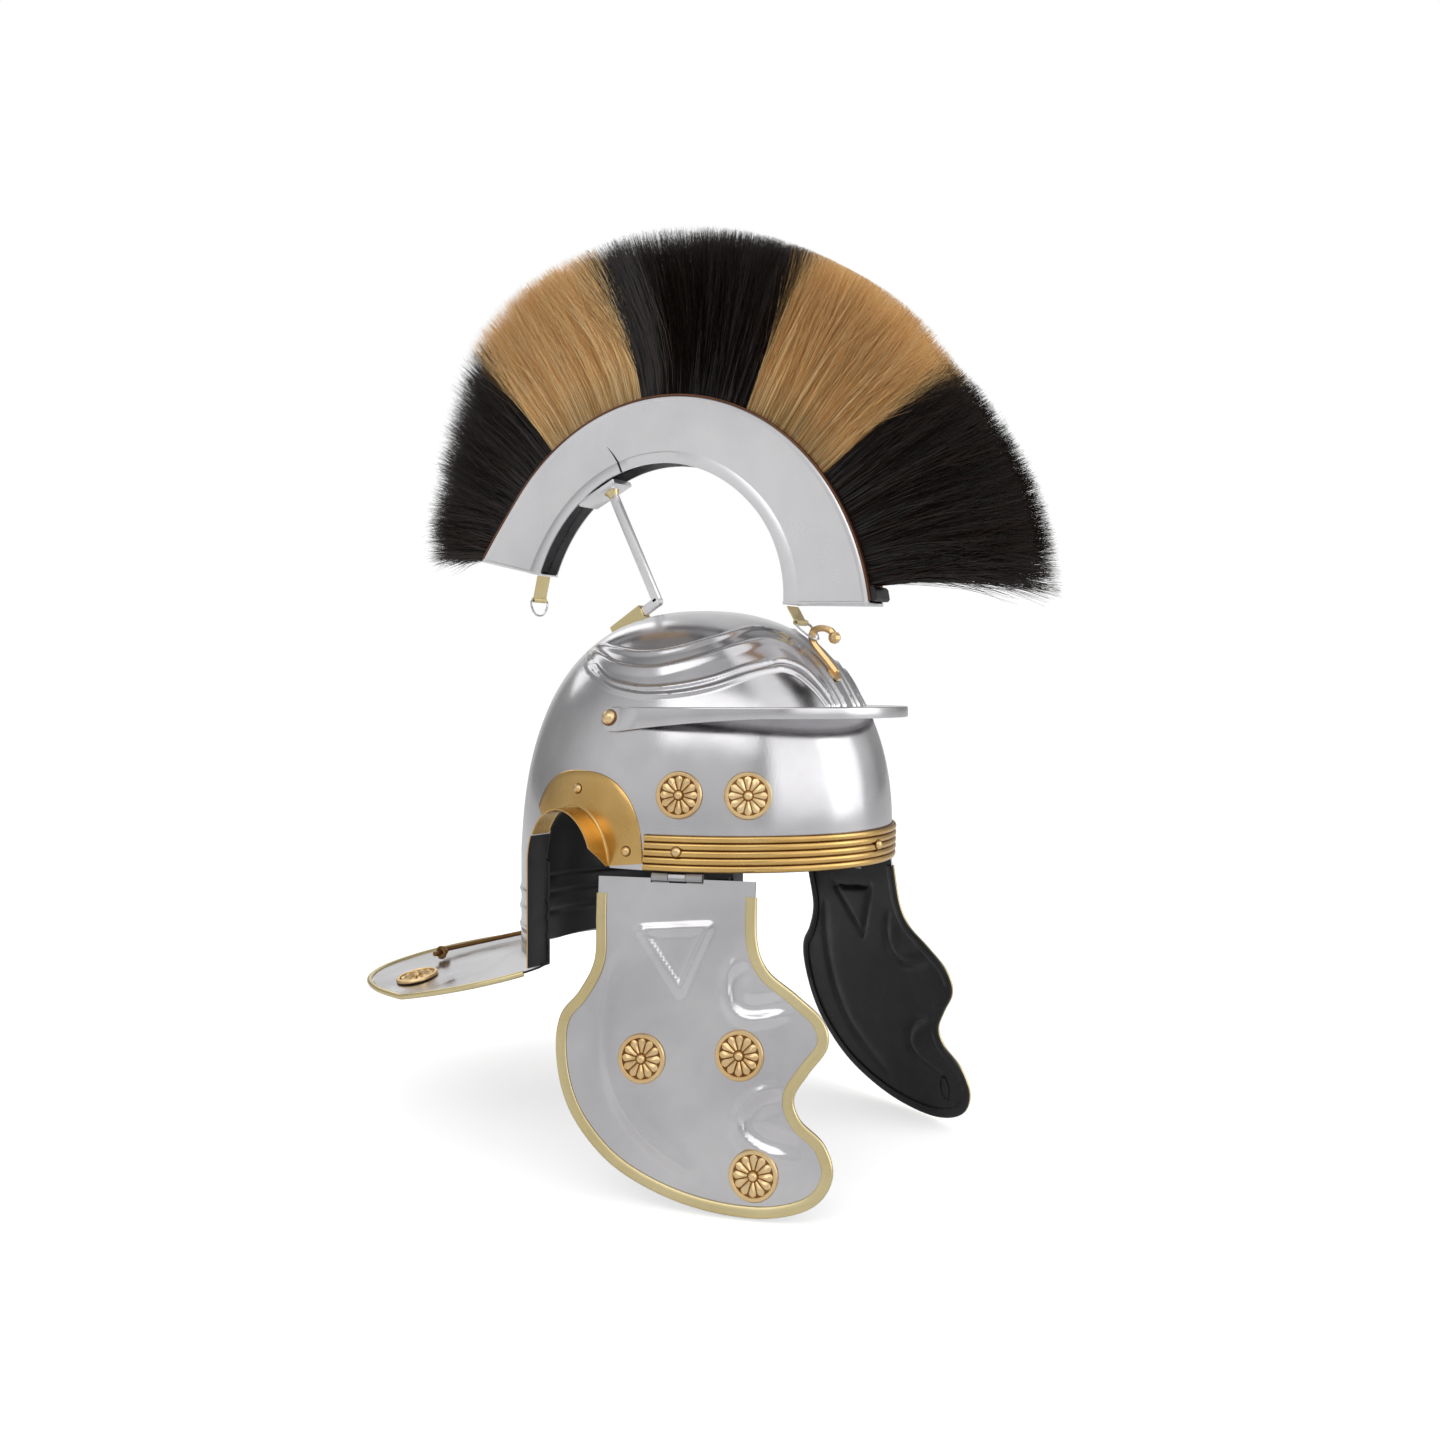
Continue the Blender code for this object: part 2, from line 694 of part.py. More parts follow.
def make_ear_guard(name, side):
    """Brass plate over the ear arch, its inner edge turned outwards."""
    first, last, steps = 2.0, 150.0, 12
    out = GAP + BRASS_SHEET
    rows = []
    for i in range(steps + 1):
        turn = first + (last - first) * i / steps
        inner_forward, inner_height = ear_arch(turn)
        angle = math.radians(turn)
        middle = (EAR_GUARD_FRONT - EAR_GUARD_BACK) / 2
        half = (EAR_GUARD_FRONT + EAR_GUARD_BACK) / 2
        fullness = 2 / EAR_GUARD_FULLNESS
        across = math.copysign(abs(math.cos(angle)) ** fullness, math.cos(angle))
        outer_forward = middle + half * across
        outer_height = RIM_HEIGHT + EAR_GUARD_HEIGHT * math.sin(angle) ** fullness
        row = []
        for share in (0.0, 0.5, 1.0):
            forward = outer_forward + (inner_forward - outer_forward) * share
            height = outer_height + (inner_height - outer_height) * share
            row.append(on_bowl(bowl_angle(forward, height), height, out))
        lip = row[-1].copy()
        lip.x += EAR_FLANGE_WIDTH - out
        row.append(lip)
        rows.append([mirrored(point, side) for point in row])
    bm = bmesh.new()
    grid = [[bm.verts.new(point) for point in row] for row in rows]
    for near, far in zip(grid, grid[1:]):
        for i in range(len(near) - 1):
            corners = (near[i], near[i + 1], far[i + 1], far[i])
            bm.faces.new(corners if side > 0 else tuple(reversed(corners)))
    item = add_object("ear_guard_" + name, mesh_from(bm, "ear_guard_" + name, closed=False), BRASS)
    sheet = item.modifiers.new("sheet", "SOLIDIFY")
    sheet.thickness = BRASS_SHEET
    sheet.offset = -1.0
    return item


PEAK_HEIGHT = RIM_HEIGHT + PEAK_HEIGHT_ABOVE_RIM
PEAK_END = bowl_angle(PEAK_END_FORWARD, PEAK_HEIGHT - PEAK_TAB_HEIGHT / 2)


def make_peak():
    """Level shelf across the brow with a lip, flattening into a tab at each temple."""
    least = PEAK_SEAT + SHEET
    sections = []
    for share in [-share for share in reversed(PEAK_SHARES[1:])] + list(PEAK_SHARES):
        angle = PEAK_END * share
        spread = min(abs(share) / PEAK_TAB_START, 1.0)
        in_tab = max((abs(share) - PEAK_TAB_START) / (1 - PEAK_TAB_START), 0.0)
        reach = least + GAP + (PEAK_REACH - least) * max(math.cos(spread * math.pi / 2), 0.0) ** 0.9
        swell = (PEAK_TAB_HEIGHT - PEAK_LIP) * math.sin(in_tab * math.pi)
        under = PEAK_HEIGHT - SHEET
        bottom = PEAK_HEIGHT - PEAK_LIP - swell
        seat = bowl_point(angle, under)
        base = bowl_point(angle, bottom)
        normal = bowl_normal(angle, under)
        level = Vector((normal.x, normal.y, 0)).normalized()
        tip = max((seat - base).dot(level) + reach, least)
        low = base + level * tip
        low_in = base + level * (tip - SHEET)
        near = seat + level * PEAK_SEAT
        far = seat + level * reach
        up = Vector((0, 0, SHEET))
        sections.append([near + up, far + up, low, low_in, far - level * SHEET, near])
    return loft("peak", sections, STEEL)


def turned_mesh(name, profile, sides):
    """A profile of radius and height turned round +Z, from its top to its base."""
    bm = bmesh.new()
    rows = []
    for radius, height in profile[1:-1]:
        row = []
        for i in range(sides):
            angle = 2 * math.pi * i / sides
            row.append(bm.verts.new((radius * math.cos(angle), radius * math.sin(angle), height)))
        rows.append(row)
    top = bm.verts.new((0, 0, profile[0][1]))
    base = bm.verts.new((0, 0, profile[-1][1]))
    for i in range(sides):
        j = (i + 1) % sides
        bm.faces.new((top, rows[0][i], rows[0][j]))
        bm.faces.new((base, rows[-1][j], rows[-1][i]))
        for upper, lower in zip(rows, rows[1:]):
            bm.faces.new((upper[i], lower[i], lower[j], upper[j]))
    return mesh_from(bm, name)


def dome_profile(radius, height):
    return [(0, height), (radius * 0.6, height * 0.84), (radius, height * 0.25), (radius, 0), (0, 0)]


def rosette_mesh():
    """A round flower of raised petals with a domed rivet in its middle."""
    bm = bmesh.new()
    count = ROSETTE_PETALS * 2
    base, rim, hub = [], [], []
    for i in range(count):
        angle = 2 * math.pi * i / count
        radius = ROSETTE_RADIUS * (1.0 if i % 2 else 0.93)
        height = ROSETTE_THICKNESS * (1.3 if i % 2 else 0.7)
        across = Vector((math.cos(angle), math.sin(angle), 0))
        base.append(bm.verts.new(across * radius))
        rim.append(bm.verts.new(across * radius + Vector((0, 0, height))))
        if i % 2:
            hub.append(bm.verts.new(across * RIVET_RADIUS * 1.15 + Vector((0, 0, ROSETTE_THICKNESS * 1.6))))
    cap = bm.verts.new((0, 0, ROSETTE_THICKNESS + RIVET_HEIGHT * 1.3))
    bm.faces.new(base)
    for i in range(count):
        j = (i + 1) % count
        bm.faces.new((base[i], base[j], rim[j], rim[i]))
    for k in range(ROSETTE_PETALS):
        tip, notch, following = 2 * k + 1, (2 * k + 2) % count, (2 * k + 3) % count
        bm.faces.new((rim[tip], rim[notch], hub[k]))
        bm.faces.new((rim[notch], rim[following], hub[(k + 1) % ROSETTE_PETALS]))
        bm.faces.new((rim[notch], hub[(k + 1) % ROSETTE_PETALS], hub[k]))
        bm.faces.new((hub[k], hub[(k + 1) % ROSETTE_PETALS], cap))
    return mesh_from(bm, "rosette")


def place(name, mesh, frame, finish):
    item = add_object(name, mesh, finish)
    item.matrix_world = frame
    return item


def make_rivets():
    small = turned_mesh("small_rivet", dome_profile(RIVET_RADIUS, RIVET_HEIGHT), 8)
    large = turned_mesh("peak_rivet", dome_profile(PEAK_RIVET_RADIUS, PEAK_RIVET_RADIUS * 0.6), 10)
    seat = 2 * GAP
    on_band = seat + BAND_THICKNESS + BAND_RIB_HEIGHT
    on_guard = seat + BRASS_SHEET
    on_peak = seat + PEAK_SEAT + GAP + SHEET
    band_height = RIM_HEIGHT + BAND_HEIGHT * BAND_RIVET_RISE
    top_height = RIM_HEIGHT + (EAR_ARCH_HEIGHT + EAR_GUARD_HEIGHT) / 2
    low_height = RIM_HEIGHT + BAND_HEIGHT * 0.5
    tab_height = PEAK_HEIGHT - PEAK_TAB_HEIGHT / 2
    spots = [("band_rivet_front", small, 0.0, band_height, on_band)]
    for name, side in SIDES:
        band = bowl_angle(HINGE_FORWARD, band_height)
        top = bowl_angle((EAR_FRONT + EAR_REAR) / 2 + TOP_RIVET_AHEAD, top_height)
        low = bowl_angle((EAR_FRONT + EAR_GUARD_FRONT) / 2 + LOW_RIVET_AHEAD, low_height)
        temple = bowl_angle(PEAK_END_FORWARD + PEAK_RIVET_RADIUS * 1.35, tab_height)
        spots += [
            ("band_rivet_" + name, small, band * side, band_height, on_band),
            ("ear_guard_rivet_top_" + name, small, top * side, top_height, on_guard),
            ("ear_guard_rivet_front_" + name, small, low * side, low_height, on_guard),
            ("peak_rivet_" + name, large, temple * side, tab_height, on_peak),
        ]
    for name, mesh, angle, height, out in spots:
        normal = bowl_normal(angle, height)
        place(name, mesh, facing(bowl_point(angle, height) + normal * out, normal), BRASS)


def make_bowl_rosettes(mesh):
    height = RIM_HEIGHT + BOWL_HEIGHT * BOWL_ROSETTE_RISE
    ahead = HINGE_FORWARD + ROSETTE_SPACING * ROSETTE_RADIUS
    for name, side in SIDES:
        for spot, forward in (("rear", HINGE_FORWARD), ("front", ahead)):
            angle = bowl_angle(forward, height) * side
            normal = bowl_normal(angle, height)
            seat = bowl_point(angle, height) + normal * GAP
            place("rosette_bowl_%s_%s" % (spot, name), mesh, facing(seat, normal), BRASS)


def make_neck_rosettes(mesh):
    for name, side in SIDES:
        spot, reach = NECK_ROSETTE_SWEEP, NECK_ROSETTE_DEPTH
        seat = neck_point(spot, reach)
        along = neck_point(spot + 0.01, reach) - neck_point(spot - 0.01, reach)
        outward = neck_point(spot, reach + 0.01) - neck_point(spot, reach - 0.01)
        normal = along.cross(outward).normalized()
        if normal.z < 0:
            normal = -normal
        frame = facing(mirrored(seat + normal * 2 * GAP, side), mirrored(normal, side), Vector((0, 1, 0)))
        place("rosette_neck_" + name, mesh, frame, BRASS)


CREST_STEPS = 24
PLATE_DEPTH = CREST_OUTER_RADIUS - CREST_INNER_RADIUS - CREST_INNER_RISE / 2
CORE_SHARE = 1 - CREST_CORE_DEPTH / PLATE_DEPTH
TOE_SHARE = 1 + CREST_TOE / PLATE_DEPTH


def crest_point(angle, radius, rise=0.0, side=0.0):
    """A point round the crest's centre, its angle in degrees from the front over the top."""
    turn = math.radians(angle)
    forward = CREST_FORWARD + radius * math.cos(turn)
    return side_view(forward, CREST_CENTRE_HEIGHT + rise + radius * math.sin(turn), side)


def crest_edge_radius(angle):
    """The outer edge's radius, which grows towards the rear end."""
    flare = min(max(1 - (CREST_REAR_ANGLE - angle) / CREST_FLARE_SWEEP, 0.0), 1.0)
    return CREST_OUTER_RADIUS + CREST_REAR_FLARE * flare ** 2


def crest_rung(angle, share, side=0.0):
    """A point between the crest plate's inner edge, at 0, and its outer edge, at 1."""
    tuck = min(max(1 - (angle - CREST_FRONT_ANGLE) / CREST_TUCK_SWEEP, 0.0), 1.0)
    inner = crest_point(angle, CREST_INNER_RADIUS - CREST_FRONT_TUCK * tuck ** 2, CREST_INNER_RISE, side)
    return inner.lerp(crest_point(angle, crest_edge_radius(angle), 0.0, side), share)


def crest_inset(distance):
    """The sweep that a distance takes up at the inner edge, in degrees."""
    return math.degrees(distance / (CREST_INNER_RADIUS - CREST_FRONT_TUCK))


def crest_outline(inner, outer, inset, steps):
    """Outline between two shares of the plate's depth, drawn in from both ends by an inset."""
    rear, front = CREST_REAR_ANGLE - inset, CREST_FRONT_ANGLE + inset
    angles = [rear + (front - rear) * i / steps for i in range(steps + 1)]
    far = [crest_rung(angle, outer) for angle in angles]
    return far + [crest_rung(angle, inner) for angle in reversed(angles)]


def bar(name, start, end, width, thickness, finish=None):
    """A flat bar in the middle plane between two points in side view."""
    along = (end - start).normalized()
    across = Vector((0, along.z, -along.y)) * width / 2
    outline = [start + across, end + across, end - across, start - across]
    return prism(name, outline, Vector((1, 0, 0)), -thickness / 2, thickness / 2, finish)


def socket_slope():
    """The direction of the crown's fall behind the socket's mouth, in side view."""
    mouth, rear = SOCKET_MOUTH_FORWARD, SOCKET_MOUTH_FORWARD - SOCKET_LENGTH
    fall = side_view(rear, crown_height(rear)) - side_view(mouth, crown_height(mouth))
    return fall.normalized()


TANG_LIFT = GAP * 2 + SOCKET_WALL + POST_WIDTH / 2


def tang_ends():
    slope = socket_slope()
    up = Vector((0, -slope.z, slope.y))
    if up.z < 0:
        up = -up
    middle = SOCKET_MOUTH_FORWARD - SOCKET_LENGTH / 2
    mouth = side_view(middle, crown_height(middle)) + up * (TANG_LIFT + SOCKET_SAG)
    travel = (-POST_FOOT_FORWARD - mouth.y) / slope.y
    start = mouth + slope * travel
    return start, start + slope * POST_TANG_LENGTH, slope, up


def make_crest_holder():
    """Both side plates, the closed ends, the bracket and the post, soldered into one."""
    across = Vector((1, 0, 0))
    outline = crest_outline(0.0, 1.0, 0.0, CREST_STEPS)
    item = prism("crest_holder", outline, across, -CREST_WIDTH / 2, CREST_WIDTH / 2, STEEL)
    hollow = crest_outline(-0.2, 1.2, crest_inset(CREST_PLATE), CREST_STEPS)
    half = CREST_WIDTH / 2 - CREST_PLATE
    boolean(item, prism("crest_hollow", hollow, across, -half, half))

    rest = crest_rung(BRACKET_REST_ANGLE, 0.0)
    turn = math.radians(BRACKET_REST_ANGLE - BRACKET_TILT)
    inward = -side_view(math.cos(turn), math.sin(turn))
    along = Vector((0, inward.z, -inward.y))
    middle = rest + inward * BRACKET_THICKNESS * 0.8
    bracket = bar("crest_bracket", middle - along * BRACKET_LENGTH / 2, middle + along * BRACKET_LENGTH / 2,
                  BRACKET_THICKNESS, CREST_WIDTH)
    boolean(item, bracket, "UNION")

    foot, tang_end, slope, _ = tang_ends()
    top = side_view(POST_TOP_FORWARD, 0)
    top.z = middle.z + (middle.y - top.y) * (along.z / along.y) * -1
    post = bar("crest_post", top, foot, POST_WIDTH, POST_THICKNESS)
    tang = bar("crest_tang", foot - slope * POST_WIDTH * 0.2, tang_end, POST_WIDTH, POST_THICKNESS)
    boolean(item, post, "UNION")
    boolean(item, tang, "UNION")
    return item


def make_crest_socket():
    """Brass pocket on the crown that takes the post's tang from the front."""
    foot, tang_end, slope, up = tang_ends()
    half = POST_THICKNESS / 2 + GAP + SOCKET_WALL
    roof = POST_WIDTH / 2 + GAP + SOCKET_WALL
    start = (-SOCKET_MOUTH_FORWARD - foot.y) / slope.y
    steps = 4
    sections = []
    for i in range(steps + 1):
        centre = foot + slope * (start + SOCKET_LENGTH * i / steps)
        drop = TANG_LIFT
        for _ in range(6):
            floor = crown_height(-(centre.y - up.y * drop)) + GAP * 2
            drop = (centre.z - floor) / up.z
        across = Vector((half, 0, 0))
        low, high = centre - up * drop, centre + up * roof
        sections.append([low - across, high - across, high + across, low + across])
    item = loft("crest_socket", sections, BRASS)
    reach = half - SOCKET_WALL
    depth = POST_WIDTH / 2 + GAP
    ahead = foot - slope * CREST_WIDTH
    behind = tang_end + slope * GAP * 2
    outline = [ahead + up * depth, behind + up * depth, behind - up * depth, ahead - up * depth]
    boolean(item, prism("socket_hollow", outline, Vector((1, 0, 0)), -reach, reach))
    return item


def make_crest_core():
    """Black wooden strip between the plates that the hair is set in, with a toe at the front."""
    half = CREST_WIDTH / 2 - CREST_PLATE - GAP
    inset = crest_inset(CREST_PLATE + GAP * 2)
    outline = crest_outline(2 * BRACKET_THICKNESS / PLATE_DEPTH, CORE_SHARE, inset, CREST_STEPS)
    front = CREST_FRONT_ANGLE + inset
    toe = [crest_rung(front + CREST_TOE_SWEEP, CORE_SHARE), crest_rung(front + CREST_TOE_SWEEP, TOE_SHARE),
           crest_rung(front, TOE_SHARE)]
    outline[CREST_STEPS:CREST_STEPS] = toe
    return prism("crest_core", outline, Vector((1, 0, 0)), -half, half, BLACK_PAINT)


def plume_sector(name, start, end, finish):
    """One colour of hair as locks that fan out from the core, joined side by side."""
    middle = (CREST_REAR_ANGLE + CREST_FRONT_ANGLE) / 2
    root_share = CORE_SHARE + GAP / PLATE_DEPTH
    split = math.degrees(GAP / CREST_OUTER_RADIUS)
    sections = []
    steps = LOCKS_PER_SECTOR * 2
    for i in range(steps + 1):
        angle = start - split + (end - start + 2 * split) * i / steps
        tip_angle = middle + (angle - middle) * PLUME_FAN
        groove = i % 2 == 0
        reach = PLUME_LENGTH * lookup(PLUME_OUTLINE, tip_angle) * (LOCK_GROOVE_REACH if groove else 1.0)
        edge = crest_edge_radius(angle)
        length = CREST_OUTER_RADIUS + reach - edge
        swell = PLUME_WIDTH / 2 * (LOCK_GROOVE_WIDTH if groove else 1.0)
        narrow = PLUME_ROOT_WIDTH / 2
        near, far = [crest_rung(angle, root_share, -narrow)], [crest_rung(angle, root_share, narrow)]
        for share, fullness in LOCK_SHAPE:
            turn = angle + (tip_angle - angle) * share
            near.append(crest_point(turn, edge + length * share, side=-swell * fullness))
            far.append(crest_point(turn, edge + length * share, side=swell * fullness))
        sections.append(near + far[::-1])
    return loft(name, sections, finish)


def make_plume():
    names = ("rear", "upper_rear", "top", "upper_front", "front")
    inset = crest_inset(CREST_PLATE + GAP * 4)
    joins = (CREST_REAR_ANGLE - inset, *PLUME_JOINS, CREST_FRONT_ANGLE + inset + CREST_TOE_SWEEP)
    for i, (name, start, end) in enumerate(zip(names, joins, joins[1:])):
        plume_sector("plume_" + name, start, end, DARK_HAIR if i % 2 == 0 else TAN_HAIR)


def make_strap(name, start, end):
    """A thin brass tongue whose far end is rolled into an eye for the ring's bar."""
    along = (end - start).normalized()
    face = Vector((0, along.z, -along.y))
    across = Vector((1, 0, 0))
    half = across * STRAP_WIDTH / 2
    bore = RING_WIRE + GAP
    shell = bore + BRASS_SHEET
    stop = end - along * (bore + BRASS_SHEET / 2)
    outline = [start - half, stop - half, stop + half, start + half]
    item = prism(name, outline, face, -BRASS_SHEET / 2, BRASS_SHEET / 2, PALE_BRASS)
    sections = []
    for i in range(8):
        turn = 2 * math.pi * i / 8
        spoke = along * math.cos(turn) + face * math.sin(turn)
        sections.append([end + spoke * radius + across * reach * STRAP_WIDTH / 2
                         for radius, reach in ((shell, -1), (shell, 1), (bore, 1), (bore, -1))])
    boolean(item, loft(name + "_eye", sections, ring=True), "UNION")
    return item


def make_ring(name, bar_middle, along, length):
    """A wire ring whose straight bar lies in a strap's eye."""
    half = [(x * RING_WIDTH / 2, share * length) for x, share in RING_SHAPE]
    outline = half + [(-x, reach) for x, reach in reversed(half[:-1])]
    points = [bar_middle + along * reach + Vector((x, 0, 0)) for x, reach in outline]
    return wire(name, points, RING_WIRE, STEEL, rounds=1, closed=True)


def make_straps():
    """Tongues at both ends of the holder: the front ring is on the hook, the rear one hangs."""
    base = crown_height(HOOK_FOOT_FORWARD)
    share_forward, share_rise = HOOK_CATCH
    on_hook = side_view(HOOK_FOOT_FORWARD + share_forward * HOOK_HEIGHT, base + share_rise * HOOK_HEIGHT)
    below = GAP + BRASS_SHEET
    corner = crest_rung(CREST_FRONT_ANGLE, 0.0)
    start = corner + side_view(below, -below)
    towards = (on_hook - start).normalized()
    eye = start + (towards + Vector((0, 0, -STRAP_SAG))).normalized() * FRONT_STRAP_LENGTH
    make_strap("front_strap", start, eye)
    pull = on_hook - eye
    make_ring("front_ring", eye, pull.normalized(), pull.length + HOOK_WIRE * 1.3 + GAP + RING_WIRE)

    start = crest_rung(CREST_REAR_ANGLE, REAR_STRAP_SEAT) - Vector((0, 0, GAP * 2))
    eye = start + side_view(*REAR_STRAP_WAY) * REAR_STRAP_LENGTH
    make_strap("rear_strap", start, eye)
    make_ring("rear_ring", eye, Vector((0, 0, -1)), RING_LENGTH)


def make_hook():
    """Brass hook riveted to the front of the crown, with a ball on its tip."""
    base = crown_height(HOOK_FOOT_FORWARD)
    foot = side_view(HOOK_FOOT_FORWARD, base)
    normal = bowl_normal(0, base)
    route = [foot + normal * (HOOK_WIRE + GAP * 2)]
    for forward, rise in HOOK_ROUTE:
        route.append(foot + side_view(forward * HOOK_HEIGHT, rise * HOOK_HEIGHT))
    line = [Vector(point) for point in smooth_line([tuple(point) for point in route], 2)]
    item = wire("front_hook", line, HOOK_WIRE, BRASS, rounds=1)
    profile = [(HOOK_BALL * math.sin(turn), HOOK_BALL * math.cos(turn)) for turn in BALL_TURNS]
    ball = turned_mesh("hook_ball", profile, 8)
    ball_item = add_object("hook_ball", ball)
    ball_item.location = line[-1] + Vector((0, 0, -HOOK_BALL * 0.2))
    boolean(item, ball_item, "UNION")
    plate = turned_mesh("hook_foot", HOOK_FOOT, 10)
    foot_item = add_object("hook_foot", plate)
    foot_item.matrix_world = facing(foot + normal * GAP * 1.5, normal, Vector((1, 0, 0)))
    boolean(item, foot_item, "UNION")
    return item


class CheekFrame:
    """The cheek guard's own plane: forward along its hinge, down its face, out of its face."""

    def __init__(self, side):
        angle = bowl_angle(HINGE_FORWARD, RIM_HEIGHT)
        wall = bowl_point(angle, RIM_HEIGHT)
        normal = bowl_normal(angle, RIM_HEIGHT)
        along = Vector((-normal.y, normal.x, 0)).normalized()
        if along.y > 0:
            along = -along
        axis_point = wall + Vector((0, 0, -HINGE_DROP))
        flare = math.radians(CHEEK_FLARE)
        down = normal * math.sin(flare) - Vector((0, 0, 1)) * math.cos(flare)
        out = normal * math.cos(flare) + Vector((0, 0, 1)) * math.sin(flare)
        self.origin = mirrored(axis_point, side)
        self.along = mirrored(along, side)
        self.down = mirrored(down, side)
        self.out = mirrored(out, side)
        self.wall_out = mirrored(normal, side)

    def point(self, forward, down, out=0.0):
        return self.origin + self.along * forward + self.down * down + self.out * out


def cheek_edge():
    """The guard's free edge in its own plane, forward and down from the hinge."""
    line = [(forward * CHEEK_WIDTH, down * CHEEK_HEIGHT) for forward, down in smooth_line(CHEEK_OUTLINE, 2)]
    return thinned(line, CHEEK_EDGE_SLACK)


def offset_line(line, distance):
    """A line in the guard's plane moved sideways, towards the guard's inside when positive."""
    moved = []
    for i, (forward, down) in enumerate(line):
        before = line[max(i - 1, 0)]
        after = line[min(i + 1, len(line) - 1)]
        step = Vector((after[0] - before[0], after[1] - before[1])).normalized()
        moved.append((forward + step.y * distance, down - step.x * distance))
    return moved


def make_cheek_guard(name, side):
    frame = CheekFrame(side)
    outline = cheek_edge()
    notch = HINGE_LENGTH / 2 + GAP * 2
    notch_depth = HINGE_RADIUS + GAP * 2
    top = CHEEK_OUTLINE[0][1] * CHEEK_HEIGHT
    border = [*outline, (notch, top), (notch, notch_depth), (-notch, notch_depth), (-notch, top)]
    flat = [frame.point(forward, down) for forward, down in border]
    item = prism("cheek_guard_" + name, flat, frame.out, -SHEET / 2, SHEET / 2, STEEL)
    for number, table in enumerate(CHEEK_RELIEF):
        line = [frame.point(forward * CHEEK_WIDTH, down * CHEEK_HEIGHT, CHEEK_RELIEF_RADIUS * 0.35)
                for forward, down in table]
        closed = table[0] == table[-1]
        ridge = wire("cheek_relief_%s_%d" % (name, number), line[:-1] if closed else line,
                     CHEEK_RELIEF_RADIUS, rounds=0, closed=closed)
        boolean(item, ridge, "UNION")
    return item


def make_cheek_binding(name, side):
    """Brass channel folded over the guard's free edge."""
    frame = CheekFrame(side)
    edge = cheek_edge()
    edge[0] = edge[0].lerp(edge[1], 0.5)
    edge[-1] = edge[-1].lerp(edge[-2], 0.3)
    outer = offset_line(edge, -(GAP + CHEEK_BINDING_SHEET))
    inner = offset_line(edge, CHEEK_BINDING_WIDTH)
    slot = offset_line(edge, -GAP)
    clear = SHEET / 2 + GAP
    face = clear + CHEEK_BINDING_SHEET
    sections = []
    for (of, od), (inf, ind), (sf, sd) in zip(outer, inner, slot):
        section = [
            frame.point(of, od, face),
            frame.point(inf, ind, face),
            frame.point(inf, ind, clear),
            frame.point(sf, sd, clear),
            frame.point(sf, sd, -clear),
            frame.point(inf, ind, -clear),
            frame.point(inf, ind, -face),
            frame.point(of, od, -face),
        ]
        sections.append(section)
    return loft("cheek_binding_" + name, sections, PALE_BRASS)


def make_cheek_rosettes(mesh, name, side):
    frame = CheekFrame(side)
    for spot, (forward, down) in CHEEK_ROSETTES.items():
        seat = frame.point(forward * CHEEK_WIDTH, down * CHEEK_HEIGHT, SHEET / 2 + GAP)
        place("rosette_cheek_%s_%s" % (spot, name), mesh, facing(seat, frame.out), BRASS)


def rod(name, frame, start, end, radius, finish=None):
    """A round bar on the hinge's axis."""
    return wire(name, [frame.point(start, 0.0), frame.point(end, 0.0)], radius, finish, rounds=2)


def tube(name, frame, start, end, radius, bore, finish=None):
    """A knuckle bored through, on the hinge's axis."""
    sections = []
    sides = 10
    for i in range(sides):
        turn = 2 * math.pi * i / sides
        across, out = math.cos(turn), math.sin(turn)
        sections.append([frame.point(end_point, across * r, out * r)
                         for end_point, r in ((start, radius), (end, radius), (end, bore), (start, bore))])
    return loft(name, sections, finish, ring=True)


def make_hinge(name, side):
    """Middle knuckle, pin and leaf fixed inside the bowl, and the guard's two knuckles."""
    frame = CheekFrame(side)
    half = HINGE_LENGTH / 2
    third = HINGE_LENGTH / 6
    fixed = rod("hinge_" + name, frame, -third, third, HINGE_RADIUS, STEEL)
    boolean(fixed, rod("pin_" + name, frame, -half, half, HINGE_PIN_RADIUS), "UNION")
    up = Vector((0, 0, 1))
    base = frame.origin - frame.wall_out * (SHEET + GAP * 3)
    top = base + up * (HINGE_DROP + HINGE_LEAF_HEIGHT)
    leaf_points = [frame.origin, base + up * (HINGE_DROP - GAP * 2), top, top - frame.wall_out * SHEET,
                   base - frame.wall_out * SHEET]
    boolean(fixed, prism("leaf_" + name, leaf_points, frame.along, -third, third), "UNION")

    bore = HINGE_PIN_RADIUS + GAP
    moving = tube("cheek_knuckles_" + name, frame, -half, -third - GAP, HINGE_RADIUS, bore, STEEL)
    other = tube("other_knuckle_" + name, frame, third + GAP, half, HINGE_RADIUS, bore)
    back = SHEET / 2 + GAP
    near = (HINGE_RADIUS + bore) / 2
    clear = HINGE_RADIUS + GAP * 2
    gap_side = third + GAP
    outline = ((-half, near), (-half, HINGE_LEAF_HEIGHT), (half, HINGE_LEAF_HEIGHT), (half, near),
               (gap_side, near), (gap_side, clear), (-gap_side, clear), (-gap_side, near))
    leaf_face = [frame.point(forward, down) for forward, down in outline]
    leaf = prism("cheek_leaf_" + name, leaf_face, frame.out, -back - BRASS_SHEET, -back)
    boolean(moving, leaf, "UNION")
    boolean(moving, other, "UNION")


def eye_centre():
    """The middle of the left eye, standing on the neck guard."""
    seat = neck_point(EYE_SWEEP, EYE_DEPTH)
    ring = HANDLE_WIRE + GAP + EYE_WIRE
    return seat + Vector((0, 0, GAP * 2 + EYE_WIRE + ring))


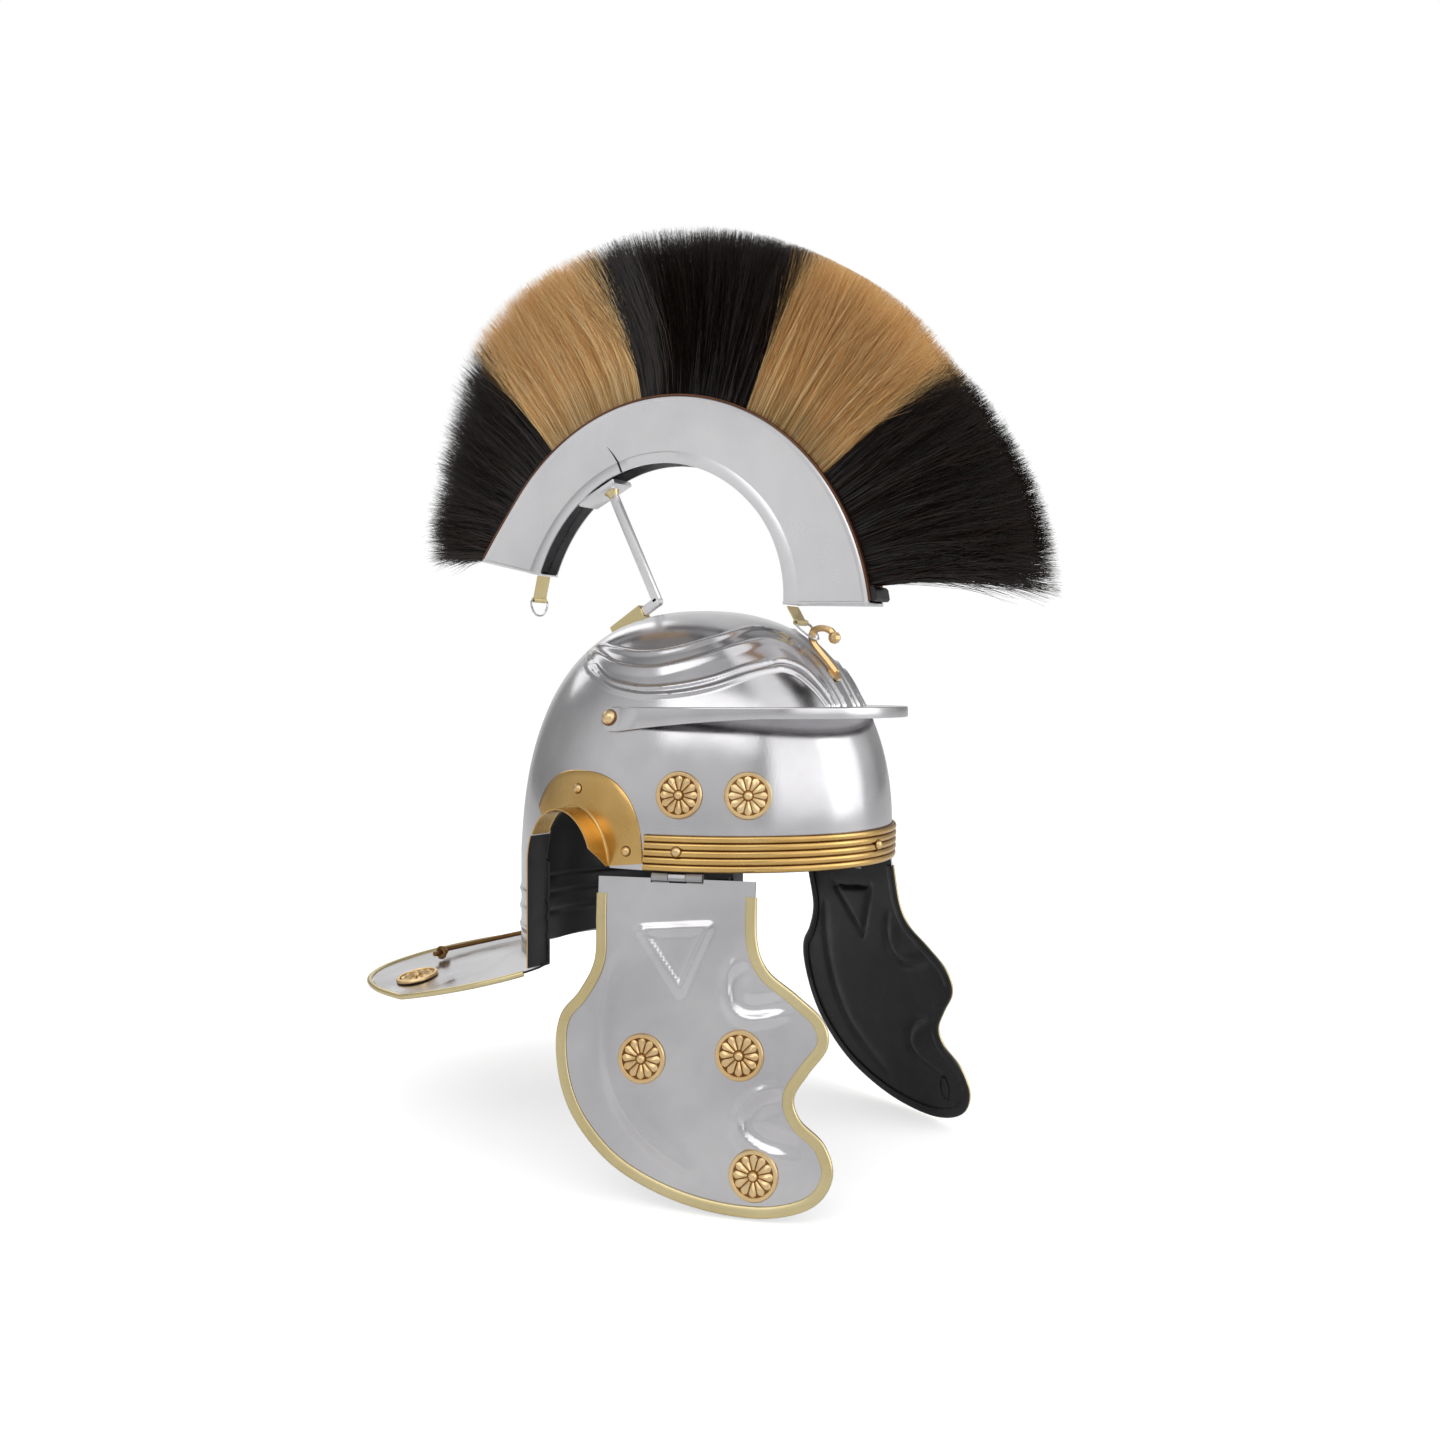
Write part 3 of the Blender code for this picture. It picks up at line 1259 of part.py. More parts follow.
def make_handle():
    """Brass bail lying back on the neck guard, its ends through an eye on each side."""
    eye = eye_centre()
    ring = HANDLE_WIRE + GAP + EYE_WIRE
    for name, side in SIDES:
        middle = mirrored(eye, side)
        points = []
        for i in range(10):
            turn = 2 * math.pi * i / 10
            points.append(middle + Vector((0, math.cos(turn), math.sin(turn))) * ring)
        wire("handle_eye_" + name, points, EYE_WIRE, BRASS, rounds=1, closed=True)
    left = []
    for outward, share in HANDLE_BEND:
        left.append(Vector((eye.x + outward, eye.y + HANDLE_REACH * share, eye.z - HANDLE_DROP * share)))
    line = left + [mirrored(point, -1) for point in reversed(left)]
    return wire("carrying_handle", line, HANDLE_WIRE, BRASS, rounds=1)


def main():
    make_bowl()
    make_neck_binding()
    make_brow_band()
    make_peak()
    for name, side in SIDES:
        make_ear_guard(name, side)
    make_rivets()
    rosette = rosette_mesh()
    make_bowl_rosettes(rosette)
    make_neck_rosettes(rosette)
    make_crest_holder()
    make_crest_core()
    make_crest_socket()
    make_plume()
    make_straps()
    make_hook()
    for name, side in SIDES:
        make_cheek_guard(name, side)
        make_cheek_binding(name, side)
        make_cheek_rosettes(rosette, name, side)
        make_hinge(name, side)
    make_handle()


main()
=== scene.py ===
import math

import bmesh
import bpy
import numpy as np
from mathutils import Matrix, Vector
from mathutils.geometry import delaunay_2d_cdt


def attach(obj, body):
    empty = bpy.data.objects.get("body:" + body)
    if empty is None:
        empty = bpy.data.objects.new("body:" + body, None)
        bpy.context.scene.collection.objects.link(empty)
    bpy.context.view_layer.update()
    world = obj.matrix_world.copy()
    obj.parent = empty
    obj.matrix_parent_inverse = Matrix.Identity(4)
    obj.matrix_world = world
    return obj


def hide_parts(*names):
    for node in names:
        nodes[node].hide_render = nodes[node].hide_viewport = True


# Roman legionary helmet: the looks. Metres, +X the wearer's left, -Y the front, +Z up.
# The sizes below are the ones that the solids have.

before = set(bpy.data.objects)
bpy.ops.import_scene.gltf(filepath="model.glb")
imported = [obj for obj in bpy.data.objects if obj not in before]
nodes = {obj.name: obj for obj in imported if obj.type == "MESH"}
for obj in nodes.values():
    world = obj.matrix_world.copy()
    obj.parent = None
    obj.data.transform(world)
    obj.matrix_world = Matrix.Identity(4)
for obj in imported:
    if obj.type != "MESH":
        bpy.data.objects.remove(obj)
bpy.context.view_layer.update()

bowl = {
    "halfLength": 0.1182,
    "halfWidth": 0.0993,
    "height": 0.1447,
    "fullness": 2.37,
    "lean": 0.0025,
    "rim": -0.1435,
    "sheet": 0.0012,
    "earFront": 0.010,
    "earRear": -0.0429,
    "earHeight": 0.0315,
    "earCorner": 0.0590,  # from the rim down to the neck guard's front corner
    "flange": 0.015,
    "flangeSheet": 0.0014,
    "napeDepth": 0.0665,
    "napeRidges": (0.39, 0.56, 0.74),  # shares of the nape's depth
    "napeRidgeHeight": 0.0010,
    "napeRidgeWidth": 0.024,
    "neckHalfWidth": 0.126,
    "neckReach": 0.212,
    "neckDrop": 0.0245,
    "columnSteps": (0.55, 1.25),  # degrees between the mesh's columns, over the brow and beside it
    "browHalf": 24,
    "rowSteps": (0.0045, 0.022),  # shares of the height between its rows, over the brow lines and below
    "browDepth": 0.42,
    "rearSteps": 56,
    "napeSteps": 49,
    "neckSteps": 26,
}

seatGap = 0.0003  # what is fixed to the bowl lies this far off it
sides = (("right", -1), ("left", 1))
earMiddle = (bowl["earFront"] + bowl["earRear"]) / 2
earHalf = (bowl["earFront"] - bowl["earRear"]) / 2


def sideView(forward, height, side=0.0):
    return Vector((side, -forward, height))


def bowlRise(height):
    return min(max((height - bowl["rim"]) / bowl["height"], 0.0), 1.0)


def bowlShare(height):
    return (1 - bowlRise(height) ** bowl["fullness"]) ** (1 / bowl["fullness"])


def bowlLean(height):
    rise = bowlRise(height)
    return bowl["lean"] * 4 * rise * (1 - rise)


def bowlPoint(angle, height):
    turn = math.radians(angle)
    share = bowlShare(height)
    forward = bowl["halfLength"] * share * math.cos(turn) + bowlLean(height)
    return sideView(forward, height, bowl["halfWidth"] * share * math.sin(turn))


def bowlNormal(angle, height):
    step = 0.0004
    across = bowlPoint(angle + 0.4, height) - bowlPoint(angle - 0.4, height)
    upward = bowlPoint(angle, height + step) - bowlPoint(angle, height - step)
    return across.cross(upward).normalized()


def onBowl(angle, height, out=0.0):
    return bowlPoint(angle, height) + bowlNormal(angle, height) * out


def bowlAngle(forward, height):
    reach = (forward - bowlLean(height)) / (bowl["halfLength"] * bowlShare(height))
    return math.degrees(math.acos(min(max(reach, -1.0), 1.0)))


def crownHeight(forward):
    height = bowl["rim"] + bowl["height"]
    for _ in range(6):
        share = min(abs(forward - bowlLean(height)) / bowl["halfLength"], 1.0)
        height = bowl["rim"] + bowl["height"] * (1 - share ** bowl["fullness"]) ** (1 / bowl["fullness"])
    return height


neckStart = bowl["earRear"] + 0.002
neckAngle = bowlAngle(neckStart, bowl["rim"])

# The neck guard seen from above: share of its half width, share of its reach back
neckPlan = (
    (0.76, 0.000), (0.83, 0.055), (0.90, 0.130), (0.96, 0.220), (0.995, 0.330), (1.00, 0.470),
    (0.955, 0.660), (0.83, 0.810), (0.63, 0.910), (0.40, 0.965), (0.20, 0.992), (0.00, 1.000),
)


def smoothLine(points, steps):
    spaced = [points[0], *points, points[-1]]
    line = []
    for before, start, end, after in zip(spaced, spaced[1:], spaced[2:], spaced[3:]):
        for step in range(steps):
            t = step / steps
            line.append(tuple(
                0.5 * (2 * b + (c - a) * t + (2 * a - 5 * b + 4 * c - d) * t * t
                       + (3 * b - a - 3 * c + d) * t ** 3)
                for a, b, c, d in zip(before, start, end, after)))
    line.append(tuple(points[-1]))
    return line


neckCurve = smoothLine(neckPlan, 12)


def neckEdge(place):
    spot = place * (len(neckCurve) - 1)
    row = min(int(spot), len(neckCurve) - 2)
    part = spot - row
    side = neckCurve[row][0] + (neckCurve[row + 1][0] - neckCurve[row][0]) * part
    back = neckCurve[row][1] + (neckCurve[row + 1][1] - neckCurve[row][1]) * part
    forward = neckStart - back * (bowl["neckReach"] + neckStart)
    drop = bowl["neckDrop"] * min(max(back, 0.0) * 2, 1.0) ** 0.75
    return sideView(forward, bowl["rim"] - bowl["earCorner"] - drop, side * bowl["neckHalfWidth"])


def neckRootDepth(place):
    return bowl["earCorner"] + (bowl["napeDepth"] - bowl["earCorner"]) * place


def neckPoint(place, out):
    angle = neckAngle + (180.0 - neckAngle) * place
    root = bowlPoint(angle, bowl["rim"])
    root.z -= neckRootDepth(place)
    edge = neckEdge(place)
    point = root.lerp(edge, out)
    point.z = root.z + (edge.z - root.z) * out ** 0.8
    return point


def mirrored(point, side):
    return Vector((point.x * side, point.y, point.z))


def insideArch(forward, height):
    # Below 1 inside the arch that is cut over each ear
    return ((forward - earMiddle) / earHalf) ** 2 + ((height - bowl["rim"]) / bowl["earHeight"]) ** 2


def earArch(turn):
    angle = math.radians(turn)
    return earMiddle + earHalf * math.cos(angle), bowl["rim"] + bowl["earHeight"] * math.sin(angle)


def linked(name, data):
    item = bpy.data.objects.new(name, data)
    bpy.context.scene.collection.objects.link(item)
    return item


def makeObject(name, mesh, finishes, sharp=40):
    for finish in finishes:
        mesh.materials.append(finish)
    mesh.shade_smooth()
    mesh.set_sharp_from_angle(angle=math.radians(sharp))
    return linked(name, mesh)


def meshFrom(bm, name, recalculate=True):
    if recalculate:
        bmesh.ops.recalc_face_normals(bm, faces=bm.faces)
    mesh = bpy.data.meshes.new(name)
    bm.to_mesh(mesh)
    bm.free()
    return mesh


def faceOutward(bm, outward):
    # An open sheet is turned over when most of it faces the wrong way
    bm.normal_update()
    if sum(face.normal.dot(outward(face)) for face in bm.faces) < 0:
        bmesh.ops.reverse_faces(bm, faces=bm.faces)


def joined(name, parts, finishes, sharp=40):
    bm = bmesh.new()
    for part in parts:
        bm.from_mesh(part)
        bpy.data.meshes.remove(part)
    return makeObject(name, meshFrom(bm, name), finishes, sharp)


def loftMesh(sections):
    # Closed sections, each joined to the next, with both ends closed
    bm = bmesh.new()
    rows = [[bm.verts.new(point) for point in section] for section in sections]
    for first, second in zip(rows, rows[1:]):
        for i in range(len(first)):
            j = (i + 1) % len(first)
            bm.faces.new((first[i], first[j], second[j], second[i]))
    bm.faces.new(rows[0])
    bm.faces.new(list(reversed(rows[-1])))
    return meshFrom(bm, "loft")


def appliedMesh(item):
    evaluated = item.evaluated_get(bpy.context.evaluated_depsgraph_get())
    mesh = bpy.data.meshes.new_from_object(evaluated)
    bpy.data.objects.remove(item)
    return mesh


def walled(item, thickness, **settings):
    # The thickness goes inwards from the outer face
    wall = item.modifiers.new("wall", "SOLIDIFY")
    wall.thickness = thickness
    wall.offset = -1
    for setting, value in settings.items():
        setattr(wall, setting, value)
    return appliedMesh(item)


def wireMesh(points, radius, sides=10, closed=False, radii=None):
    # A round wire through the points, where radii may scale it at each point
    data = bpy.data.curves.new("wire", "CURVE")
    data.dimensions = "3D"
    data.bevel_depth = radius
    data.bevel_resolution = sides // 2 - 1
    data.use_fill_caps = not closed
    spline = data.splines.new("POLY")
    spline.points.add(len(points) - 1)
    for i, (item, point) in enumerate(zip(spline.points, points)):
        item.co = (*point, 1.0)
        item.radius = radii[i] if radii else 1.0
    spline.use_cyclic_u = closed
    mesh = appliedMesh(linked("wire", data))
    bm = bmesh.new()
    bm.from_mesh(mesh)
    bmesh.ops.remove_doubles(bm, verts=bm.verts, dist=1e-7)
    bpy.data.meshes.remove(mesh)
    return meshFrom(bm, "wire")


def slotted(mesh, slot):
    for face in mesh.polygons:
        face.material_index = slot
    return mesh


def facing(location, direction, spin=Vector((0, 0, 1))):
    # The place and turn of a piece whose own Z is to point along direction
    normal = direction.normalized()
    across = (spin - normal * spin.dot(normal)).normalized()
    turn = Matrix((across, normal.cross(across), normal)).transposed().to_4x4()
    return Matrix.Translation(location) @ turn


def rounded(profile, radius, steps=3):
    # Corners of a closed flat outline cut back to small arcs
    out = []
    count = len(profile)
    for i in range(count):
        before, corner, after = (Vector(profile[k % count]) for k in (i - 1, i, i + 1))
        back = (before - corner)
        ahead = (after - corner)
        reach = min(radius, back.length * 0.45, ahead.length * 0.45)
        start = corner + back.normalized() * reach
        end = corner + ahead.normalized() * reach
        for k in range(steps + 1):
            t = k / steps
            out.append(start.lerp(corner, t).lerp(corner.lerp(end, t), t))
    return out


def finishPiece(item, body, *replaced):
    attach(item, body)
    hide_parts(*replaced)


def addNode(tree, kind, inputs=None, **settings):
    # A node with its settings, and each input linked to a socket or given its value
    node = tree.nodes.new(kind)
    for setting, value in settings.items():
        setattr(node, setting, value)
    for label, value in (inputs or {}).items():
        value = getattr(value, "socket", value)
        if isinstance(value, bpy.types.NodeSocket):
            tree.links.new(value, node.inputs[label])
        else:
            node.inputs[label].default_value = value
    return node


def multiplied(tree, first, second):
    mix = addNode(tree, "ShaderNodeMix", {"Factor": 1.0, "A": first, "B": second},
                  data_type="RGBA", blend_type="MULTIPLY")
    return mix.outputs["Result"]


def newMaterial(name, colour, metallic, roughness):
    material = bpy.data.materials.new(name)
    material.use_nodes = True
    tree = material.node_tree
    shader = tree.nodes["Principled BSDF"]
    shader.inputs["Base Color"].default_value = (*colour, 1)
    shader.inputs["Metallic"].default_value = metallic
    shader.inputs["Roughness"].default_value = roughness
    return material, tree, shader


def addNoise(tree, scale, detail, stretch=(1, 1, 1)):
    place = addNode(tree, "ShaderNodeTexCoord").outputs["Object"]
    mapping = addNode(tree, "ShaderNodeMapping", {"Vector": place, "Scale": stretch})
    noise = addNode(tree, "ShaderNodeTexNoise",
                    {"Vector": mapping.outputs["Vector"], "Scale": scale, "Detail": detail})
    return noise.outputs["Fac"]


def addRamp(tree, source, stops):
    ramp = tree.nodes.new("ShaderNodeValToRGB")
    elements = ramp.color_ramp.elements
    while len(elements) < len(stops):
        elements.new(0.5)
    for element, (place, colour) in zip(elements, stops):
        element.position = place
        element.color = (*colour, 1) if len(colour) == 3 else (colour[0], colour[0], colour[0], 1)
    tree.links.new(source, ramp.inputs["Fac"])
    return ramp.outputs["Color"]


# Scales of the noises in the finishes, and how deep their finest marks go
grain = {
    "cloud": 22.0,
    "smear": 60.0,
    "wheel": 900.0,
    "wheelStretch": (1.0, 1.0, 0.12),  # the polishing wheel's lines run up and down
    "paintCloud": 45.0,
    "paintSmear": 120.0,
    "paintGrit": 700.0,
    "paintRelief": 0.15,
    "depth": 0.0002,
    "rootShade": 0.60,  # the hair is this dark at its root, and fully light from rootReach on
    "rootReach": 0.30,
    "hairRoughness": 0.42,
}


def addBump(tree, shader, source, strength):
    bump = addNode(tree, "ShaderNodeBump",
                   {"Height": source, "Strength": strength, "Distance": grain["depth"]})
    tree.links.new(bump.outputs["Normal"], shader.inputs["Normal"])


def polishedMetal(name, light, dark, smooth, worn, scratch):
    # Cloudy polish: a slow change of colour and gloss, and the wheel's fine lines
    material, tree, shader = newMaterial(name, light, 1.0, smooth)
    colour = addRamp(tree, addNoise(tree, grain["cloud"], 5.0), [(0.32, dark), (0.62, light)])
    tree.links.new(colour, shader.inputs["Base Color"])
    gloss = addRamp(tree, addNoise(tree, grain["smear"], 6.0), [(0.30, (smooth,)), (0.72, (worn,))])
    tree.links.new(gloss, shader.inputs["Roughness"])
    addBump(tree, shader, addNoise(tree, grain["wheel"], 2.0, grain["wheelStretch"]), scratch)
    return material


def blackPaint(name, dark, light, smooth, worn):
    material, tree, shader = newMaterial(name, dark, 0.0, smooth)
    colour = addRamp(tree, addNoise(tree, grain["paintCloud"], 5.0), [(0.35, dark), (0.75, light)])
    tree.links.new(colour, shader.inputs["Base Color"])
    gloss = addRamp(tree, addNoise(tree, grain["paintSmear"], 4.0), [(0.3, (smooth,)), (0.8, (worn,))])
    tree.links.new(gloss, shader.inputs["Roughness"])
    addBump(tree, shader, addNoise(tree, grain["paintGrit"], 3.0), grain["paintRelief"])
    return material


def hairMaterial(name, dark, middle, light):
    # Every strand keeps its own shade along its length, a little darker at the root
    material, tree, shader = newMaterial(name, middle, 0.0, grain["hairRoughness"])
    shade = addNode(tree, "ShaderNodeAttribute", attribute_name="shade").outputs["Fac"]
    along = addNode(tree, "ShaderNodeAttribute", attribute_name="along").outputs["Fac"]
    colour = addRamp(tree, shade, [(0.0, dark), (0.5, middle), (1.0, light)])
    depth = addRamp(tree, along, [(0.0, (grain["rootShade"],)), (grain["rootReach"], (1.0,))])
    tree.links.new(multiplied(tree, colour, depth), shader.inputs["Base Color"])
    return material


# A metal's light and dark colour, its roughness where smooth and where worn, and its scratches
steel = polishedMetal("polished steel", (0.72, 0.71, 0.725), (0.62, 0.61, 0.63), 0.16, 0.25, 0.10)
satinSteel = polishedMetal("satin steel", (0.50, 0.495, 0.50), (0.36, 0.35, 0.36), 0.30, 0.42, 0.15)
brass = polishedMetal("brass", (0.80, 0.54, 0.21), (0.66, 0.41, 0.14), 0.20, 0.32, 0.10)
paleBrass = polishedMetal("pale brass", (0.82, 0.70, 0.40), (0.72, 0.59, 0.31), 0.24, 0.36, 0.12)
# Patina darkened further as painted shade, for the ground of the rosettes and the ring round each rivet head
patinaAndShade = polishedMetal("patinaAndShade", (0.27, 0.14, 0.055), (0.15, 0.07, 0.028), 0.42, 0.56, 0.30)
wood = polishedMetal("brown wood", (0.26, 0.13, 0.08), (0.16, 0.075, 0.045), 0.50, 0.65, 0.30)
brightSteel = polishedMetal("bright steel", (0.92, 0.91, 0.925), (0.84, 0.83, 0.85), 0.26, 0.36, 0.03)
roseBrass = polishedMetal("rose brass", (0.92, 0.69, 0.38), (0.80, 0.54, 0.26), 0.24, 0.36, 0.10)
# Dark brass for the handle and its eyes, and as painted shade in the brow band's grooves
darkBrass = polishedMetal("dark brass", (0.34, 0.19, 0.06), (0.22, 0.11, 0.035), 0.34, 0.48, 0.10)
paint = blackPaint("black paint", (0.008, 0.008, 0.010), (0.022, 0.022, 0.025), 0.30, 0.48)
darkHair = hairMaterial("dark hair", (0.004, 0.003, 0.003), (0.010, 0.007, 0.006), (0.045, 0.024, 0.016))
tanHair = hairMaterial("tan hair", (0.55, 0.27, 0.075), (0.94, 0.58, 0.22), (1.0, 0.80, 0.44))


class Number:
    # A number inside a node tree that is reckoned with as a plain one, a Math node for each step
    def __init__(self, tree, socket):
        self.tree = tree
        self.socket = socket

    def take(self, operation, *others):
        return mathNode(self.tree, operation, self, *others)

    def __add__(self, other):
        return self.take("ADD", other)

    def __sub__(self, other):
        return self.take("SUBTRACT", other)

    def __rsub__(self, other):
        return mathNode(self.tree, "SUBTRACT", other, self)

    def __mul__(self, other):
        return self.take("MULTIPLY", other)

    def __truediv__(self, other):
        return self.take("DIVIDE", other)

    def __pow__(self, other):
        return self.take("POWER", other)


def mathNode(tree, operation, *values):
    node = addNode(tree, "ShaderNodeMath", dict(enumerate(values)), operation=operation)
    return Number(tree, node.outputs[0])


def newTree(name, inputs):
    tree = bpy.data.node_groups.new(name, "GeometryNodeTree")
    tree.interface.new_socket("Geometry", in_out="INPUT", socket_type="NodeSocketGeometry")
    for label, kind in inputs:
        tree.interface.new_socket(label, in_out="INPUT", socket_type="NodeSocket" + kind)
    tree.interface.new_socket("Geometry", in_out="OUTPUT", socket_type="NodeSocketGeometry")
    return tree, tree.nodes.new("NodeGroupInput").outputs, tree.nodes.new("NodeGroupOutput").inputs


def runTree(tree, start, values, name):
    modifier = start.modifiers.new(tree.name, "NODES")
    modifier.node_group = tree
    for item in tree.interface.items_tree:
        if item.item_type == "SOCKET" and item.in_out == "INPUT" and item.name in values:
            modifier[item.identifier] = values[item.name]
    mesh = appliedMesh(start)
    mesh.name = name
    return linked(name, mesh)


def storeNumber(tree, geometry, name, value):
    node = addNode(tree, "GeometryNodeStoreNamedAttribute",
                   {"Geometry": geometry, "Name": name, "Value": value},
                   data_type="FLOAT", domain="POINT")
    return node.outputs["Geometry"]


def readNumber(tree, name):
    node = addNode(tree, "GeometryNodeInputNamedAttribute", {"Name": name}, data_type="FLOAT")
    return Number(tree, node.outputs["Attribute"])


def randomNumber(tree, low, high, seed):
    node = addNode(tree, "FunctionNodeRandomValue", {"Seed": seed}, data_type="FLOAT")
    slots = [slot for slot in node.inputs if slot.enabled and slot.type == "VALUE"]
    slots[0].default_value, slots[1].default_value = low, high
    return Number(tree, [slot for slot in node.outputs if slot.enabled][0])


def realized(tree, copies):
    return addNode(tree, "GeometryNodeRealizeInstances", {"Geometry": copies}).outputs["Geometry"]


# Raised brow lines: degrees round from the front, share of the bowl's height below the crown
browLines = (
    {"line": ((129, 0.150), (119.2, 0.148), (98.8, 0.172), (87.5, 0.184), (78, 0.180), (68.8, 0.165),
              (54.2, 0.131), (29.8, 0.085), (13, 0.094), (7.6, 0.137), (5.2, 0.190), (4.2, 0.261),
              (3.4, 0.343), (3.2, 0.39)),
     "height": 0.0011, "above": 0.0017, "below": 0.0036},
    {"line": ((130.2, 0.156), (110, 0.194), (98.8, 0.224), (87.8, 0.243), (78, 0.247), (66.5, 0.224),
              (55.2, 0.193), (41.8, 0.157), (27, 0.136), (17.2, 0.149), (13, 0.186), (10.6, 0.238),
              (8.8, 0.292), (7.4, 0.358), (7.2, 0.39)),
     "height": 0.0013, "above": 0.0020, "below": 0.0060},
    {"line": ((131, 0.162), (112.2, 0.222), (99.2, 0.284), (89.8, 0.312), (79.2, 0.325), (67.2, 0.314),
              (56, 0.288), (43.2, 0.247), (28, 0.219), (21, 0.226), (16, 0.252), (13.2, 0.297),
              (11.2, 0.345), (10.6, 0.39)),
     "height": 0.0012, "above": 0.0024, "below": 0.0018},
    {"line": ((131.6, 0.166), (122, 0.196), (114.8, 0.234), (102.2, 0.290), (93, 0.328), (84.5, 0.347),
              (78, 0.353), (67, 0.346), (56, 0.322), (42, 0.275), (28.8, 0.250), (22.8, 0.264),
              (19.2, 0.293), (15.8, 0.339), (13.6, 0.392)),
     "height": 0.0014, "above": 0.0030, "below": 0.0022},
)


def bowlGrid():
    # Columns by degrees round from the front, rows by the share of the height below the crown
    narrow, wide = bowl["columnSteps"]
    front = []
    angle = 0.0
    while angle < neckAngle:
        front.append(angle)
        angle += narrow if angle < bowl["browHalf"] else wide
    front = [-a for a in reversed(front[1:])] + front
    sweep = 360.0 - 2 * neckAngle
    rear = [neckAngle + sweep * i / bowl["rearSteps"] for i in range(bowl["rearSteps"] + 1)]
    fine, coarse = bowl["rowSteps"]
    depths = []
    depth = 0.0008
    while depth < 1.0:
        depths.append(depth)
        depth += min(fine if depth < bowl["browDepth"] else coarse, 0.25 * depth + 0.0012)
    return front, rear, depths + [1.0]


def nearestOnLine(points, line):
    # Distance to a polyline, its nearest point, its direction there and how far along it that is
    best = np.full(len(points), 1e9)
    nearest = np.zeros_like(points)
    heading = np.zeros_like(points)
    along = np.zeros(len(points))
    count = len(line) - 1
    for i in range(count):
        start, step = line[i], line[i + 1] - line[i]
        length = np.linalg.norm(step)
        t = np.clip((points - start) @ step / (length * length), 0, 1)
        foot = start + t[:, None] * step
        distance = np.linalg.norm(points - foot, axis=1)
        better = distance < best
        best[better] = distance[better]
        nearest[better] = foot[better]
        heading[better] = step / length
        along[better] = (i + t[better]) / count
    return best, nearest, heading, along


def browRelief(points, normals):
    # Every line is a thin crest that falls off faster on one side than on the other
    height = np.zeros(len(points))
    for side in (-1, 1):
        for ridge in browLines:
            line = np.array([tuple(bowlPoint(angle * side, bowl["rim"] + bowl["height"] * (1 - depth)))
                             for angle, depth in smoothLine(ridge["line"], 6)])
            distance, nearest, heading, along = nearestOnLine(points, line)
            below = np.sum(np.cross(heading, normals) * (points - nearest), axis=1) * -side >= 0
            width = np.where(below, ridge["below"], ridge["above"])
            share = np.clip(1 - distance / width, 0, 1)
            fade = np.clip(along / 0.03, 0, 1)
            height = np.maximum(height, ridge["height"] * fade * share ** 1.4 * (1.6 - 0.6 * share))
    return height


def addDome(bm, angles, depths):
    crown = bowl["rim"] + bowl["height"]
    almostCrown = bowl["rim"] + bowl["height"] * 0.9995
    points, normals = [], []
    for depth in depths:
        height = bowl["rim"] + bowl["height"] * (1 - depth)
        for angle in angles:
            points.append(tuple(bowlPoint(angle, height)))
            normals.append(tuple(bowlNormal(angle, min(height, almostCrown))))
    points, normals = np.array(points), np.array(normals)
    points += normals * browRelief(points, normals)[:, None]
    count = len(angles)
    pole = bm.verts.new((0, -bowlLean(crown), crown))
    rows = [[bm.verts.new(points[r * count + i]) for i in range(count)] for r in range(len(depths))]
    for i in range(count):
        j = (i + 1) % count
        bm.faces.new((pole, rows[0][i], rows[0][j]))
        for upper, lower in zip(rows, rows[1:]):
            bm.faces.new((upper[i], lower[i], lower[j], upper[j]))
    return rows[-1]


def addNape(bm, rim, angles):
    # The nape's wall with its ridges, then the neck guard
    previous = None
    for i, angle in enumerate(angles):
        place = 1 - abs(1 - 2 * i / bowl["rearSteps"])
        side = 1 if i <= bowl["rearSteps"] / 2 else -1
        column = [rim[i]]
        for k in range(1, bowl["napeSteps"]):
            depth = k / bowl["napeSteps"]
            out = sum(math.exp(-((depth - ridge) / bowl["napeRidgeWidth"]) ** 2)
                      for ridge in bowl["napeRidges"])
            point = onBowl(angle, bowl["rim"], out * bowl["napeRidgeHeight"])
            point.z = bowl["rim"] - depth * neckRootDepth(place)
            column.append(bm.verts.new(point))
        for k in range(bowl["neckSteps"] + 1):
            point = neckPoint(place, (k / bowl["neckSteps"]) ** 1.15)
            column.append(bm.verts.new(mirrored(point, side)))
        if previous:
            for k in range(len(column) - 1):
                bm.faces.new((previous[k], previous[k + 1], column[k + 1], column[k]))
        previous = column


def inEar(v):
    return insideArch(-v.co.y, v.co.z) < 1 and abs(v.co.x) > 0.05 and v.co.z >= bowl["rim"] - 1e-6


def cutEars(bm):
    # Faces inside the arches go, and the points left in them move out to the arch
    doomed = [face for face in bm.faces if all(inEar(v) for v in face.verts)]
    bmesh.ops.delete(bm, geom=doomed, context="FACES")
    for v in bm.verts:
        if inEar(v):
            grow = 1 / math.sqrt(max(insideArch(-v.co.y, v.co.z), 1e-6))
            forward = earMiddle + (-v.co.y - earMiddle) * grow
            height = bowl["rim"] + (v.co.z - bowl["rim"]) * grow
            point = bowlPoint(bowlAngle(forward, height), height)
            v.co = (math.copysign(point.x, v.co.x), -forward, height)


